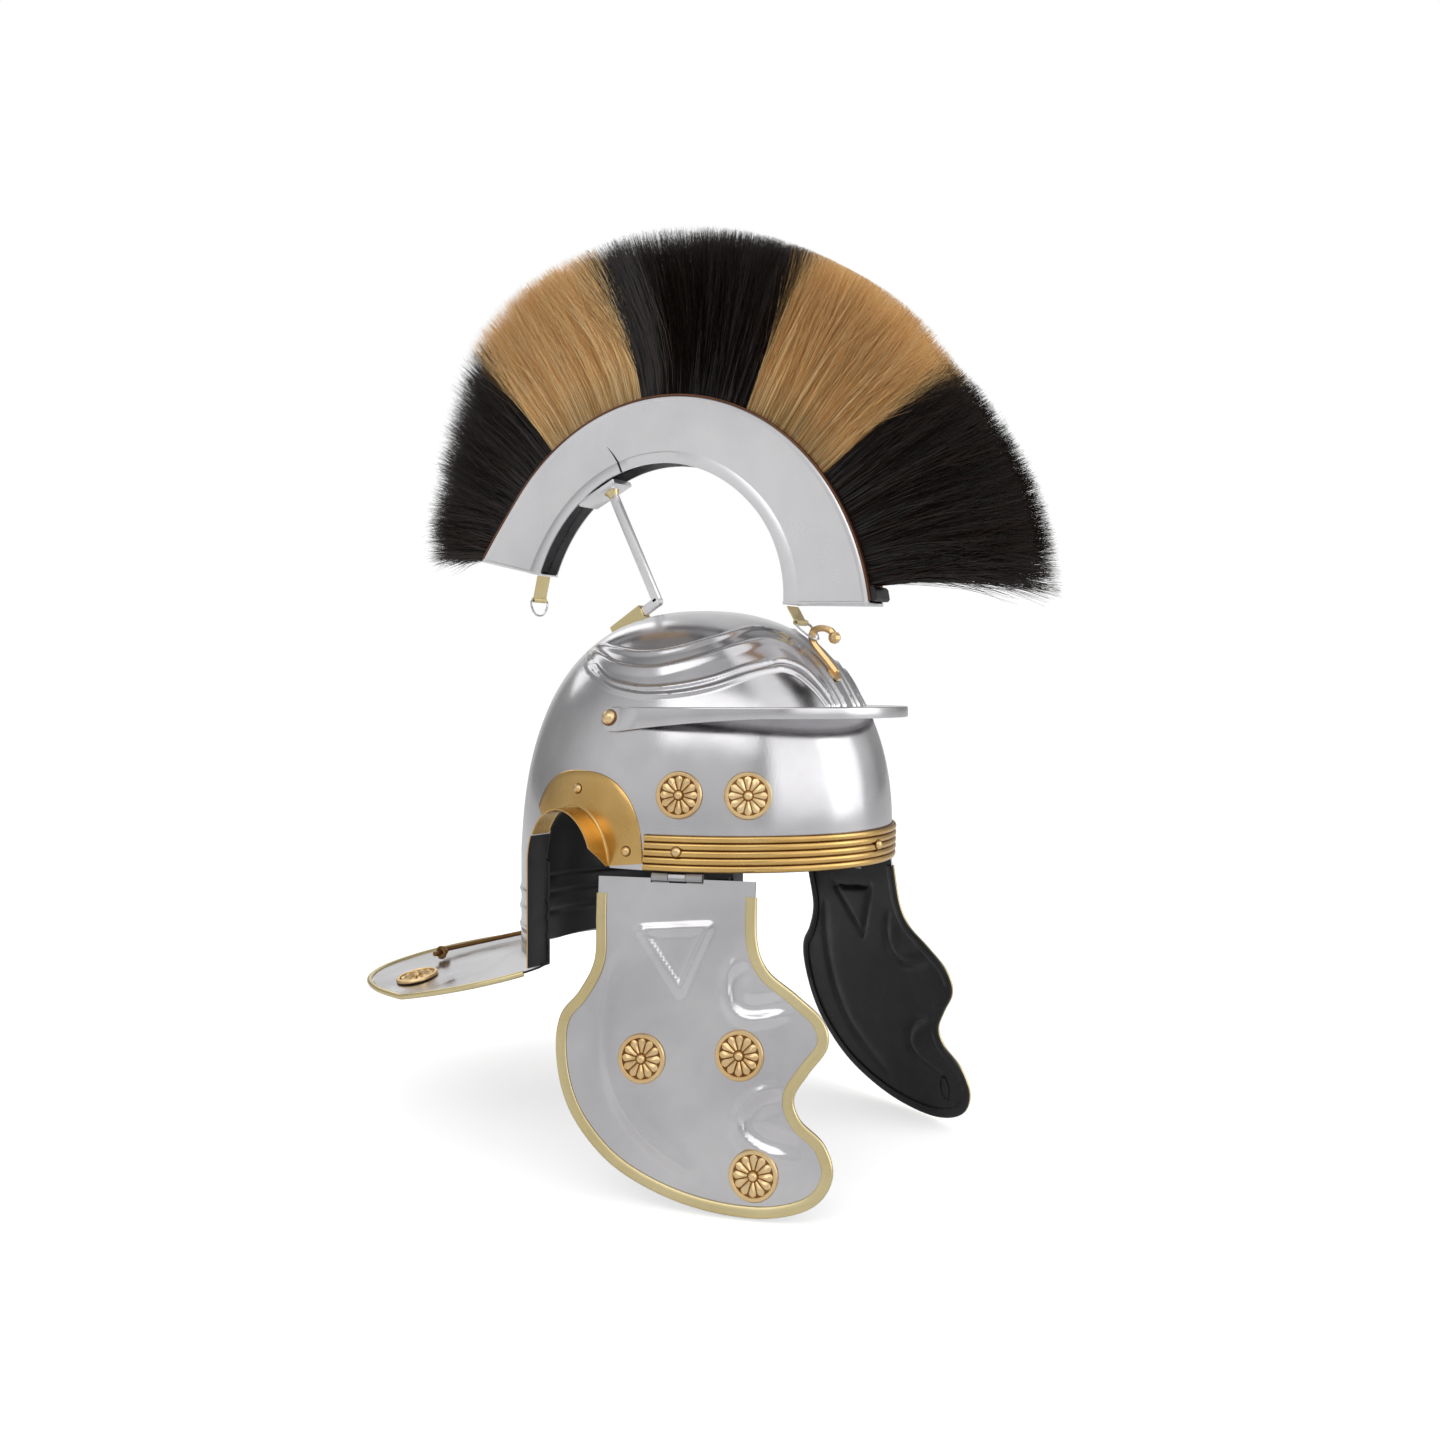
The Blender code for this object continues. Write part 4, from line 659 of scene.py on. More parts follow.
def earFlange(side):
    # The edge turned out behind each ear, black in front and brass at its lip
    edge = [earArch(turn) for turn in range(152, 181, 3)]
    depth = bowl["earCorner"] + bowl["sheet"]
    edge += [(bowl["earRear"], bowl["rim"] - depth * k / 14) for k in range(1, 15)]
    reach, back, inset, bevel = bowl["flange"], -bowl["flangeSheet"], -0.0010, 0.0004
    profile = ((inset, 0.0), (0.0, 0.0), (reach - bevel, 0.0), (reach, -0.0003), (reach, back + 0.0003),
               (reach - bevel, back), (0.0, back), (inset, back))
    sections = []
    for forward, height in edge:
        level = max(height, bowl["rim"])
        wall = bowlPoint(bowlAngle(forward, level), level).x
        sections.append([sideView(forward + behind, height, (wall + beside) * side)
                         for beside, behind in profile])
    flange = loftMesh(sections)
    for face in flange.polygons:
        if face.normal.y < -0.5:
            face.material_index = 1
        elif face.normal.x * side > 0.3:
            face.material_index = 2
    return flange


def makeBowl():
    front, rear, depths = bowlGrid()
    bm = bmesh.new()
    rim = addDome(bm, front + rear, depths)
    addNape(bm, rim[len(front):], rear)
    bmesh.ops.remove_doubles(bm, verts=bm.verts, dist=1e-6)
    cutEars(bm)
    faceOutward(bm, lambda face: face.calc_center_median())
    shell = makeObject("bowlShell", meshFrom(bm, "bowlShell", recalculate=False), [steel, paint])
    parts = [walled(shell, bowl["sheet"], use_even_offset=True, material_offset=1, material_offset_rim=1)]
    parts += [earFlange(side) for side in (-1, 1)]
    return joined("helmetBowl", parts, [steel, paint, brass], sharp=45)


finishPiece(makeBowl(), "helmet", "bowl")
print("bowl done")


neckBead = {"radius": 0.0017, "gap": 0.0002, "from": 0.085, "steps": 90}


def makeNeckBead():
    half = [neckEdge(neckBead["from"] + (1 - neckBead["from"]) * i / neckBead["steps"])
            for i in range(neckBead["steps"] + 1)]
    edge = [mirrored(point, -1) for point in half] + list(reversed(half[:-1]))
    line = []
    for i, point in enumerate(edge):
        ahead = edge[min(i + 1, len(edge) - 1)] - edge[max(i - 1, 0)]
        out = Vector((ahead.y, -ahead.x, 0)).normalized()
        if out.dot(Vector((point.x, point.y + bowl["earRear"], 0))) < 0:
            out = -out
        line.append(point + out * (neckBead["gap"] + neckBead["radius"]) - Vector((0, 0, bowl["sheet"] / 2)))
    return makeObject("neckBead", wireMesh(line, neckBead["radius"], 12), [paleBrass])


finishPiece(makeNeckBead(), "helmet", "neck_binding")


browBand = {
    "height": 0.0195,
    "sheet": 0.0010,
    "ribHeight": 0.0012,
    "ribs": 5,
    "ribSteps": 8,
    "groove": 0.10,  # share of a rib, either side of a groove, painted dark as shade
    "earEdge": 0.0313,
    "steps": 180,
}


def makeBrowBand():
    end = bowlAngle(browBand["earEdge"], bowl["rim"])
    rows = browBand["ribs"] * browBand["ribSteps"]
    sections = []
    for i in range(browBand["steps"] + 1):
        angle = -end + 2 * end * i / browBand["steps"]
        section = []
        for k in range(rows + 1):
            share = k / rows
            wave = abs(math.sin(math.pi * share * browBand["ribs"])) ** 0.6
            height = bowl["rim"] + browBand["height"] * share
            section.append(onBowl(angle, height, seatGap + browBand["sheet"] + browBand["ribHeight"] * wave))
        section.append(onBowl(angle, bowl["rim"] + browBand["height"], seatGap))
        section.append(onBowl(angle, bowl["rim"], seatGap))
        sections.append(section)
    item = makeObject("browBand", loftMesh(sections), [brass, darkBrass], sharp=50)
    # The faces beside each groove take dark brass: painted shade in the grooves
    for face in item.data.polygons:
        place = (face.center.z - bowl["rim"]) / browBand["height"] * browBand["ribs"] % 1
        face.material_index = int(min(place, 1 - place) < browBand["groove"])
    return item


finishPiece(makeBrowBand(), "helmet", "brow_band")


peak = {
    "height": -0.056,
    "reach": 0.0245,
    "lip": 0.0062,
    "endForward": -0.0035,
    "tabHeight": 0.0135,
    "tabStart": 0.93,  # shares of the way round to the rear end
    "deepenFrom": 0.45,
    "seat": 0.0007,
    "edge": 0.0009,
    "steps": 150,
}


def makePeak():
    sheet = bowl["sheet"]
    least = peak["seat"] + sheet
    half = peak["tabHeight"] / 2
    middle = peak["height"] - half
    end = bowlAngle(peak["endForward"], middle)
    tail = bowlPoint(end, middle)
    up = Vector((0, 0, sheet))
    sections = []
    for i in range(-peak["steps"], peak["steps"] + 1):
        share = math.sin(math.pi / 2 * i / peak["steps"])
        angle = end * share
        spread = min(abs(share) / peak["tabStart"], 1.0)
        deepen = (abs(share) - peak["deepenFrom"]) / (peak["tabStart"] - peak["deepenFrom"])
        deepen = min(max(deepen, 0.0), 1.0) ** 1.4
        reach = least + seatGap + (peak["reach"] - least) * max(math.cos(spread * math.pi / 2), 0.0) ** 0.9
        top = peak["height"]
        bottom = top - peak["lip"] - (peak["tabHeight"] - peak["lip"]) * deepen
        left = (bowlPoint(abs(angle), middle) - tail).length
        if left < half:
            # the round rear end, about the rivet
            rise = max(math.sqrt(half ** 2 - (half - left) ** 2), sheet * 0.7)
            top, bottom = middle + rise, middle - rise
        under = top - sheet
        seat, base = bowlPoint(angle, under), bowlPoint(angle, bottom)
        normal = bowlNormal(angle, under)
        level = Vector((normal.x, normal.y, 0)).normalized()
        tip = max((seat - base).dot(level) + reach, least)
        near, far = seat + level * peak["seat"], seat + level * reach
        profile = [near + up, far + up, base + level * tip, base + level * (tip - sheet),
                   far - level * sheet, near]
        sections.append(rounded(profile, peak["edge"]))
    return makeObject("browPeak", loftMesh(sections), [steel], sharp=60)


finishPiece(makePeak(), "helmet", "peak")


earGuard = {
    "front": 0.0307,
    "back": 0.0580,
    "height": 0.052,
    "fullness": 2.5,
    "sheet": 0.0008,
    "first": 2.0,  # degrees round the arch, from the front foot
    "last": 150.0,
    "cutSweep": 20.0,  # the turned lip is cut off slantwise over these degrees at its front foot
    "cutLeft": 0.12,
    "edge": 0.0006,
    "steps": 72,
}


def makeEarGuard(name, side):
    lift = seatGap + earGuard["sheet"]
    middle = (earGuard["front"] - earGuard["back"]) / 2
    half = (earGuard["front"] + earGuard["back"]) / 2
    power = 2 / earGuard["fullness"]
    rows = []
    for i in range(earGuard["steps"] + 1):
        turn = earGuard["first"] + (earGuard["last"] - earGuard["first"]) * i / earGuard["steps"]
        innerForward, innerHeight = earArch(turn)
        angle = math.radians(turn)
        outerForward = middle + half * math.copysign(abs(math.cos(angle)) ** power, math.cos(angle))
        outerHeight = bowl["rim"] + earGuard["height"] * math.sin(angle) ** power
        row = []
        for share in (0.0, 0.03, 0.2, 0.4, 0.6, 0.8, 0.93, 0.985):
            forward = outerForward + (innerForward - outerForward) * share
            height = outerHeight + (innerHeight - outerHeight) * share
            out = lift - (earGuard["edge"] if share == 0.0 else 0.0)
            row.append(onBowl(bowlAngle(forward, height), height, out))
        base = onBowl(bowlAngle(innerForward, innerHeight), innerHeight, lift)
        slant = min((turn - earGuard["first"]) / earGuard["cutSweep"], 1.0)
        cut = earGuard["cutLeft"] + (1 - earGuard["cutLeft"]) * slant
        for reach in (0.0006, 0.0020, 0.006, bowl["flange"] * 0.75, bowl["flange"] - lift):
            row.append(base + Vector((reach * cut, 0, 0)))
        rows.append([mirrored(point, side) for point in row])
    bm = bmesh.new()
    grid = [[bm.verts.new(point) for point in row] for row in rows]
    for near, far in zip(grid, grid[1:]):
        for i in range(len(near) - 1):
            corners = (near[i], near[i + 1], far[i + 1], far[i])
            bm.faces.new(corners if side > 0 else tuple(reversed(corners)))
    plate = makeObject("plate", meshFrom(bm, "plate", recalculate=False), [brass], sharp=60)
    return makeObject("earGuardPlate_" + name, walled(plate, earGuard["sheet"]), [], sharp=60)


for name, side in sides:
    finishPiece(makeEarGuard(name, side), "helmet", "ear_guard_" + name)
print("brow band, peak and ear guards done")


crest = {
    "forward": -0.0323,
    "height": -0.0187,
    "outer": 0.1533,
    "inner": 0.1028,
    "innerRise": 0.0096,
    "rear": 158.0,  # degrees round the crest from straight ahead
    "front": 7.0,
    "width": 0.018,
    "plate": 0.0010,
    "rearFlare": 0.0077,
    "flareSweep": 20.0,
    "frontTuck": 0.0057,
    "tuckSweep": 35.0,
    "roll": 0.0010,  # radius of the rolled edges that close the ends
    "bracket": 0.0035,
    "bracketLength": 0.032,
    "bracketAngle": 117.0,
    # the slit, from its foot: angle, share of the plate's depth, half its opening in degrees, stand off
    "slit": ((103.6, 0.0, 0.42, 0.0001), (104.1, 0.165, 0.36, 0.0001), (104.2, 0.175, 0.34, -0.0004),
             (105.4, 0.34, 0.20, -0.0004), (106.6, 0.48, 0.04, -0.0004)),
    "rimRise": 0.030,
    "steps": 150,
}

post = {
    "topForward": -0.0725,
    "footForward": -0.0345,
    "width": 0.0062,
    "thickness": 0.0040,
    "tang": 0.030,
    "mouthForward": -0.0450,
    "socketLength": 0.027,
    "socketWall": 0.0012,
    "sag": 0.0008,
    "gap": 0.0003,
    # the solder at its top: how far along from the bracket's middle, radius in millimetres
    "solder": ((0.0002, 6.2), (-0.0016, 5.2), (-0.0034, 3.8), (-0.0058, 3.0)),
}


def crestPoint(angle, radius, rise=0.0, side=0.0):
    turn = math.radians(angle)
    forward = crest["forward"] + radius * math.cos(turn)
    return sideView(forward, crest["height"] + rise + radius * math.sin(turn), side)


def crestEdgeRadius(angle):
    flare = min(max(1 - (crest["rear"] - angle) / crest["flareSweep"], 0.0), 1.0)
    return crest["outer"] + crest["rearFlare"] * flare ** 2


def crestRung(angle, share, side=0.0):
    tuck = min(max(1 - (angle - crest["front"]) / crest["tuckSweep"], 0.0), 1.0)
    inner = crestPoint(angle, crest["inner"] - crest["frontTuck"] * tuck ** 2, crest["innerRise"], side)
    return inner.lerp(crestPoint(angle, crestEdgeRadius(angle), 0.0, side), share)


def plateProfile():
    # Share of the plate's depth and how far out from the middle plane: bead, lip band and rolled edge
    half = crest["width"] / 2
    inner = half - crest["plate"]
    return (
        (0.004, inner), (0.0, half - 0.0006), (0.006, half), (0.03, half), (0.16, half - 0.0001),
        (0.172, half - 0.0005), (0.19, half - 0.0006), (0.5, half - 0.0005), (0.93, half - 0.0005),
        (0.945, half - 0.0004), (0.96, half), (0.985, half), (1.0, half - 0.0006), (0.996, inner),
    )


def barMesh(start, end, width, thickness, bevel=0.0005):
    along = (end - start).normalized()
    across = Vector((0, along.z, -along.y))
    corners = [(-width / 2, -thickness / 2), (width / 2, -thickness / 2), (width / 2, thickness / 2),
               (-width / 2, thickness / 2)]
    sections = []
    for centre, shrink in ((start, bevel), (start + along * bevel, 0),
                           (end - along * bevel, 0), (end, bevel)):
        smaller = [(x * (1 - shrink / width), y * (1 - shrink / thickness)) for x, y in corners]
        sections.append([centre + across * x + Vector((y, 0, 0)) for x, y in rounded(smaller, bevel * 2, 2)])
    return loftMesh(sections)


def slitMesh():
    # The right plate is slit above the bracket, and its black inside shows there
    sections = []
    for angle, share, opening, out in crest["slit"]:
        face = -(crest["width"] / 2 + out)
        sections.append([crestRung(angle + turn, share, depth) for turn, depth in (
            (-opening, face), (opening, face), (opening, face + 0.0004), (-opening, face + 0.0004))])
    return loftMesh(sections)


def plateMeshes():
    plates = []
    for side in (-1, 1):
        sections = []
        for i in range(crest["steps"] + 1):
            angle = crest["rear"] + (crest["front"] - crest["rear"]) * i / crest["steps"]
            sections.append([crestRung(angle, share, x * side) for share, x in plateProfile()])
        plates.append(loftMesh(sections))
    return plates


def endMeshes():
    # A strip closes each end, and its two edges are rolled
    reach = crest["width"] / 2 - 0.0004
    rollReach = crest["width"] / 2 - 0.0009
    ends = []
    for end, step in ((crest["rear"], -1), (crest["front"], 1)):
        inset = math.degrees(crest["plate"] / crest["inner"]) * step
        corners = ((end, -reach), (end, reach), (end + inset, reach), (end + inset, -reach))
        ends.append(loftMesh([[crestRung(angle, k / 11, x) for angle, x in corners] for k in range(12)]))
        roll = [crestRung(end + inset * 0.9, k / 20, -rollReach) for k in range(21)]
        ends.append(wireMesh(roll, crest["roll"]))
        ends.append(wireMesh([mirrored(point, -1) for point in roll], crest["roll"]))
    return ends


def tangEnds():
    # The tang lies in the socket, along the slope of the crown there
    rear = post["mouthForward"] - post["socketLength"]
    mouthForward = post["mouthForward"]
    fall = sideView(rear, crownHeight(rear)) - sideView(mouthForward, crownHeight(mouthForward))
    slope = fall.normalized()
    up = Vector((0, -slope.z, slope.y))
    if up.z < 0:
        up = -up
    middle = post["mouthForward"] - post["socketLength"] / 2
    lift = post["gap"] * 2 + post["socketWall"] + post["width"] / 2 + post["sag"]
    mouth = sideView(middle, crownHeight(middle)) + up * lift
    start = mouth + slope * ((-post["footForward"] - mouth.y) / slope.y)
    return start, start + slope * post["tang"], slope


def postMeshes():
    # The bracket under the plates, then the post, its tang and the round heel between them
    turn = math.radians(crest["bracketAngle"] - 4.0)
    inward = -sideView(math.cos(turn), math.sin(turn))
    along = Vector((0, inward.z, -inward.y))
    middle = crestRung(crest["bracketAngle"], 0.0) + inward * crest["bracket"] * 0.8
    reach = along * crest["bracketLength"] / 2
    foot, tangEnd, slope = tangEnds()
    top = sideView(post["topForward"], 0)
    top.z = middle.z - (middle.y - top.y) * (along.z / along.y)
    heel = Vector((post["thickness"] / 2 - 0.0003, 0, 0))
    upward = (top - foot).normalized()
    solder = wireMesh([top + upward * reach for reach, radius in post["solder"]], 0.001, 16,
                      radii=[radius for reach, radius in post["solder"]])
    return [
        barMesh(middle - reach, middle + reach, crest["bracket"], crest["width"]),
        barMesh(top, foot, post["width"], post["thickness"]),
        barMesh(foot - slope * post["width"] * 0.2, tangEnd, post["width"], post["thickness"]),
        wireMesh([foot - heel, foot + heel], post["width"] / 2, 20),
        slotted(solder, 2),
    ]


def makeCrestHolder():
    parts = plateMeshes() + endMeshes() + postMeshes() + [slotted(slitMesh(), 1)]
    return joined("crestHolder", parts, [brightSteel, paint, paleBrass], sharp=38)


finishPiece(makeCrestHolder(), "helmet", "crest_holder")


crestCore = {
    "gap": 0.0003,
    "endGap": 0.0006,
    "from": 0.15,  # shares of the plates' depth
    "to": 0.955,
    "toe": (0.93, 1.095),
    "toeSweep": 3.0,
    "toeCut": 0.0012,
    "steps": 130,
}


def boxProfile(first, last, half, radius, steps):
    return rounded([(first, -half), (last, -half), (last, half), (first, half)], radius, steps)


def makeCrestCore():
    # The black strip between the plates, its toe at the front end, and its brown rim outside them
    half = crest["width"] / 2 - crest["plate"] - crestCore["gap"]
    inset = math.degrees((crest["plate"] + crestCore["endGap"]) / (crest["inner"] - crest["frontTuck"]))
    strip = boxProfile(crestCore["from"], crestCore["to"], half, 0.0008, 2)
    edge = boxProfile(1.004, 1.0 + crest["rimRise"], crest["width"] / 2 - 0.0004, 0.0005, 2)
    core, rim, toe = [], [], []
    for i in range(crestCore["steps"] + 1):
        angle = crest["rear"] - inset + (crest["front"] - crest["rear"] + 2 * inset) * i / crestCore["steps"]
        core.append([crestRung(angle, share, x) for share, x in strip])
        rim.append([crestRung(angle, share, x) for share, x in edge])
    first, last = crestCore["toe"]
    for k in range(7):
        angle = crest["front"] + inset + crestCore["toeSweep"] * k / 6
        shrink = crestCore["toeCut"] * 20 if k in (0, 6) else 0.0
        profile = boxProfile(first, last - shrink, half, 0.002, 3)
        toe.append([crestRung(angle, share, x) for share, x in profile])
    parts = [loftMesh(core), loftMesh(toe), slotted(loftMesh(rim), 1)]
    return joined("crestCore", parts, [paint, wood], sharp=40)


finishPiece(makeCrestCore(), "helmet", "crest_core")
print("crest holder done")


# The hair grows by Geometry Nodes from the slot between the plates
hair = {
    "length": 0.109,
    "fan": 1.056,
    "rootShare": 0.965,
    "rootHalf": 0.0062,
    "tipHalf": 0.0165,
    "mostHalf": 0.018,  # no strand goes further out to the side
    "loose": 0.0035,
    "joins": (123.6, 93.6, 63.3, 37.7),
    "rearInset": 1.3,
    "frontInset": 4.3,
    "strands": 17200,  # in 30 degrees of the crest
    "width": 0.00030,
    "points": 5,
    "quickStrands": 0.35,
    "quickWidth": 1.6,
    "shortest": 0.30,  # the shortest strands are cut by this share
    "taper": 0.75,  # share of its width that a strand loses at its tip
    "tilt": 1.1,
    "lean": 3.6,
    "ownLean": 0.55,
    "lockLean": 3.2,  # neighbours lean together in locks
    "lockAlong": 0.75,
    "lockAcross": 260.0,
    "wave": 0.55,
    # the tips of the top lean rearwards: by how many degrees, about which angle, over what spread
    "sweptBy": 7.5,
    "sweptAt": 95.0,
    "sweptOver": 13.0,
    "seed": 7,
    # the plume's outline: degrees round the crest, share of the length
    "outline": ((0, 0.80), (4.0, 0.89), (9.0, 0.925), (28.0, 0.88), (39.0, 0.845), (46.0, 0.87),
                (68.0, 0.89), (92.0, 0.945), (101.0, 0.97), (113.0, 1.00), (122.0, 0.99), (129.0, 0.91),
                (135.0, 0.81), (143.0, 0.69), (150.0, 0.60), (157.0, 0.53), (164.0, 0.42), (180.0, 0.36)),
}


def storedRoots(tree, points):
    # Where each root is, its angle round the crest, its radius and its side, and its own chances
    place = addNode(tree, "GeometryNodeInputPosition").outputs[0]
    split = addNode(tree, "ShaderNodeSeparateXYZ", {0: place})
    across, back, above = (Number(tree, output) for output in split.outputs)
    ahead = back * -1.0 - crest["forward"]
    above = above - crest["height"]
    stored = {
        "angle": above.take("ARCTAN2", ahead).take("DEGREES"),
        "rootRadius": (ahead * ahead + above * above).take("SQRT"),
        "across": across,
        "chance": randomNumber(tree, 0.0, 1.0, 1),
        "sway": randomNumber(tree, -1.0, 1.0, 2),
        "drift": randomNumber(tree, -1.0, 1.0, 3),
        "shade": randomNumber(tree, 0.0, 1.0, 4),
    }
    for name, value in stored.items():
        points = storeNumber(tree, points, name, value)
    return points


def outlineShare(tree, angle):
    node = addNode(tree, "ShaderNodeFloatCurve", {"Value": angle / 180.0})
    curve = node.mapping.curves[0]
    for place, share in hair["outline"][1:-1]:
        curve.points.new(place / 180, share)
    curve.points[0].location = (0, hair["outline"][0][1])
    curve.points[-1].location = (1, hair["outline"][-1][1])
    node.mapping.update()
    return Number(tree, node.outputs[0])


def strandPlace(tree, factor, length, lean, tipSpread):
    # Every point of a strand is worked out from its root and how far along the strand it lies
    rootAngle, rootRadius, across, chance, sway, drift = (
        readNumber(tree, name) for name in ("angle", "rootRadius", "across", "chance", "sway", "drift"))
    middle = (crest["rear"] + crest["front"]) / 2
    tipAngle = (rootAngle - middle) * hair["fan"] + middle
    short = 1.0 - chance ** 4.0 * hair["shortest"]
    tipRadius = outlineShare(tree, tipAngle) * length * short + crest["outer"]
    radius = (tipRadius - rootRadius) * factor + rootRadius
    lockPlace = addNode(tree, "ShaderNodeCombineXYZ", {"X": rootAngle * hair["lockAlong"],
                                                       "Y": across * hair["lockAcross"]}).outputs[0]
    lock = addNode(tree, "ShaderNodeTexNoise", {"Vector": lockPlace, "Scale": 1.0, "Detail": 3.0},
                   noise_dimensions="2D")
    lockLean = (Number(tree, lock.outputs[0]) - 0.5) * hair["lockLean"]
    curved = factor ** 1.8
    swing = (factor * 5.0 + drift * 3.0).take("SINE")
    away = (rootAngle - hair["sweptAt"]) / hair["sweptOver"]
    swept = (away * away * -1.0).take("EXPONENT")
    turned = ((sway * hair["ownLean"] + lockLean) * (curved * lean) + swing * factor * hair["wave"]
              + swept * curved * hair["sweptBy"])
    turn = ((tipAngle - rootAngle) * factor + rootAngle + turned).take("RADIANS")
    tipSide = across / hair["rootHalf"] * tipSpread + drift * hair["loose"]
    side = (tipSide - across) * factor ** 1.15 + across
    side = side.take("MAXIMUM", -hair["mostHalf"]).take("MINIMUM", hair["mostHalf"])
    return addNode(tree, "ShaderNodeCombineXYZ", {
        "X": side,
        "Y": radius * turn.take("COSINE") * -1.0 - crest["forward"],
        "Z": radius * turn.take("SINE") + crest["height"]}).outputs[0]


def hairTree():
    tree, given, result = newTree("strands of hair", [
        ("Density", "Float"), ("Seed", "Int"), ("Length", "Float"), ("Strand Width", "Float"),
        ("Lean", "Float"),
        ("Tip Spread", "Float"), ("Material", "Material")])
    scatter = addNode(tree, "GeometryNodeDistributePointsOnFaces", {
        "Mesh": given["Geometry"], "Density": given["Density"], "Seed": given["Seed"]})
    line = addNode(tree, "GeometryNodeCurvePrimitiveLine", {"End": (0, 0, 1)})
    strand = addNode(tree, "GeometryNodeResampleCurve",
                     {"Curve": line.outputs["Curve"], "Count": hair["points"]})
    copies = addNode(tree, "GeometryNodeInstanceOnPoints", {
        "Points": storedRoots(tree, scatter.outputs["Points"]), "Instance": strand.outputs["Curve"]})
    factor = Number(tree, addNode(tree, "GeometryNodeSplineParameter").outputs["Factor"])
    moved = addNode(tree, "GeometryNodeSetPosition", {
        "Geometry": realized(tree, copies.outputs["Instances"]),
        "Position": strandPlace(tree, factor, given["Length"], given["Lean"], given["Tip Spread"])})
    stored = storeNumber(tree, moved.outputs["Geometry"], "along", factor)
    thin = 1.0 - factor ** 4.0 * hair["taper"]
    taper = addNode(tree, "GeometryNodeSetCurveRadius", {"Curve": stored, "Radius": thin})
    tilt = addNode(tree, "GeometryNodeSetCurveTilt", {
        "Curve": taper.outputs["Curve"], "Tilt": readNumber(tree, "drift") * hair["tilt"]})
    # a flat strand faces the helmet's side
    halfWidth = Number(tree, given["Strand Width"]) * 0.5
    left = addNode(tree, "ShaderNodeCombineXYZ", {"Y": halfWidth * -1.0}).outputs[0]
    right = addNode(tree, "ShaderNodeCombineXYZ", {"Y": halfWidth}).outputs[0]
    ribbon = addNode(tree, "GeometryNodeCurvePrimitiveLine", {"Start": left, "End": right})
    sweep = addNode(tree, "GeometryNodeCurveToMesh", {
        "Curve": tilt.outputs["Curve"], "Profile Curve": ribbon.outputs["Curve"]})
    if "Scale" in sweep.inputs:
        tree.links.new(addNode(tree, "GeometryNodeInputRadius").outputs[0], sweep.inputs["Scale"])
    finish = addNode(tree, "GeometryNodeSetMaterial", {
        "Geometry": realized(tree, sweep.outputs["Mesh"]), "Material": given["Material"]})
    tree.links.new(finish.outputs["Geometry"], result["Geometry"])
    return tree


def rootStrip(first, last):
    bm = bmesh.new()
    steps = 12
    rows = []
    for i in range(steps + 1):
        angle = first + (last - first) * i / steps
        rows.append([bm.verts.new(crestRung(angle, hair["rootShare"], x))
                     for x in (-hair["rootHalf"], hair["rootHalf"])])
    for near, far in zip(rows, rows[1:]):
        bm.faces.new((near[0], near[1], far[1], far[0]))
    mesh = meshFrom(bm, "rootStrip", recalculate=False)
    return linked("rootStrip", mesh), sum(face.area for face in mesh.polygons)


def makePlume():
    tree = hairTree()
    ends = (crest["rear"] - hair["rearInset"], *hair["joins"], crest["front"] + hair["frontInset"])
    names = ("rear", "upper_rear", "top", "upper_front", "front")
    for i, (name, first, last) in enumerate(zip(names, ends, ends[1:])):
        strip, area = rootStrip(first, last)
        strands = hair["strands"] * (first - last) / 30.0 * 1.0
        item = runTree(tree, strip, {
            "Density": strands / area, "Seed": hair["seed"] + i, "Length": hair["length"],
            "Strand Width": hair["width"] * 1.0, "Lean": hair["lean"],
            "Tip Spread": hair["tipHalf"], "Material": darkHair if i % 2 == 0 else tanHair},
            "plumeHair_" + name)
        finishPiece(item, "helmet", "plume_" + name)
        print("plume", name, len(item.data.polygons) * 2, "triangles")


makePlume()


cheek = {
    "width": 0.1485,
    "height": 0.1665,
    "flare": 9.4,
    "hingeForward": 0.0497,
    "hingeDrop": 0.0030,
    "hingeHalf": 0.0146,
    "notch": 0.0030,
    "grid": 0.0017,
    "ridge": 0.0014,
    "triangleRidge": 1.25,
    "triangleWidth": 0.0021,
    "ovalForward": 0.440,
    "ovalDown": 0.875,
    "ovalHalf": 0.0037,
    "ovalStretch": 1.9,
    "ovalWire": 0.0007,
    "bindingWidth": 0.0048,
    "bindingSheet": 0.0007,
}

# All in shares of the guard's width and height, forward of its hinge and down from it
cheekOutline = (
    (-0.296, 0.004), (-0.292, 0.130), (-0.288, 0.270), (-0.340, 0.372), (-0.404, 0.445), (-0.418, 0.540),
    (-0.388, 0.670), (-0.318, 0.780), (-0.190, 0.885), (-0.020, 0.955), (0.170, 0.993), (0.370, 0.995),
    (0.520, 0.950), (0.580, 0.865), (0.548, 0.776), (0.464, 0.712), (0.441, 0.645), (0.490, 0.570),
    (0.552, 0.490), (0.533, 0.415), (0.440, 0.345), (0.335, 0.275), (0.292, 0.180), (0.288, 0.004),
)
cheekTriangle = ((-0.125, 0.170), (0.125, 0.150), (0.030, 0.350), (-0.125, 0.170))
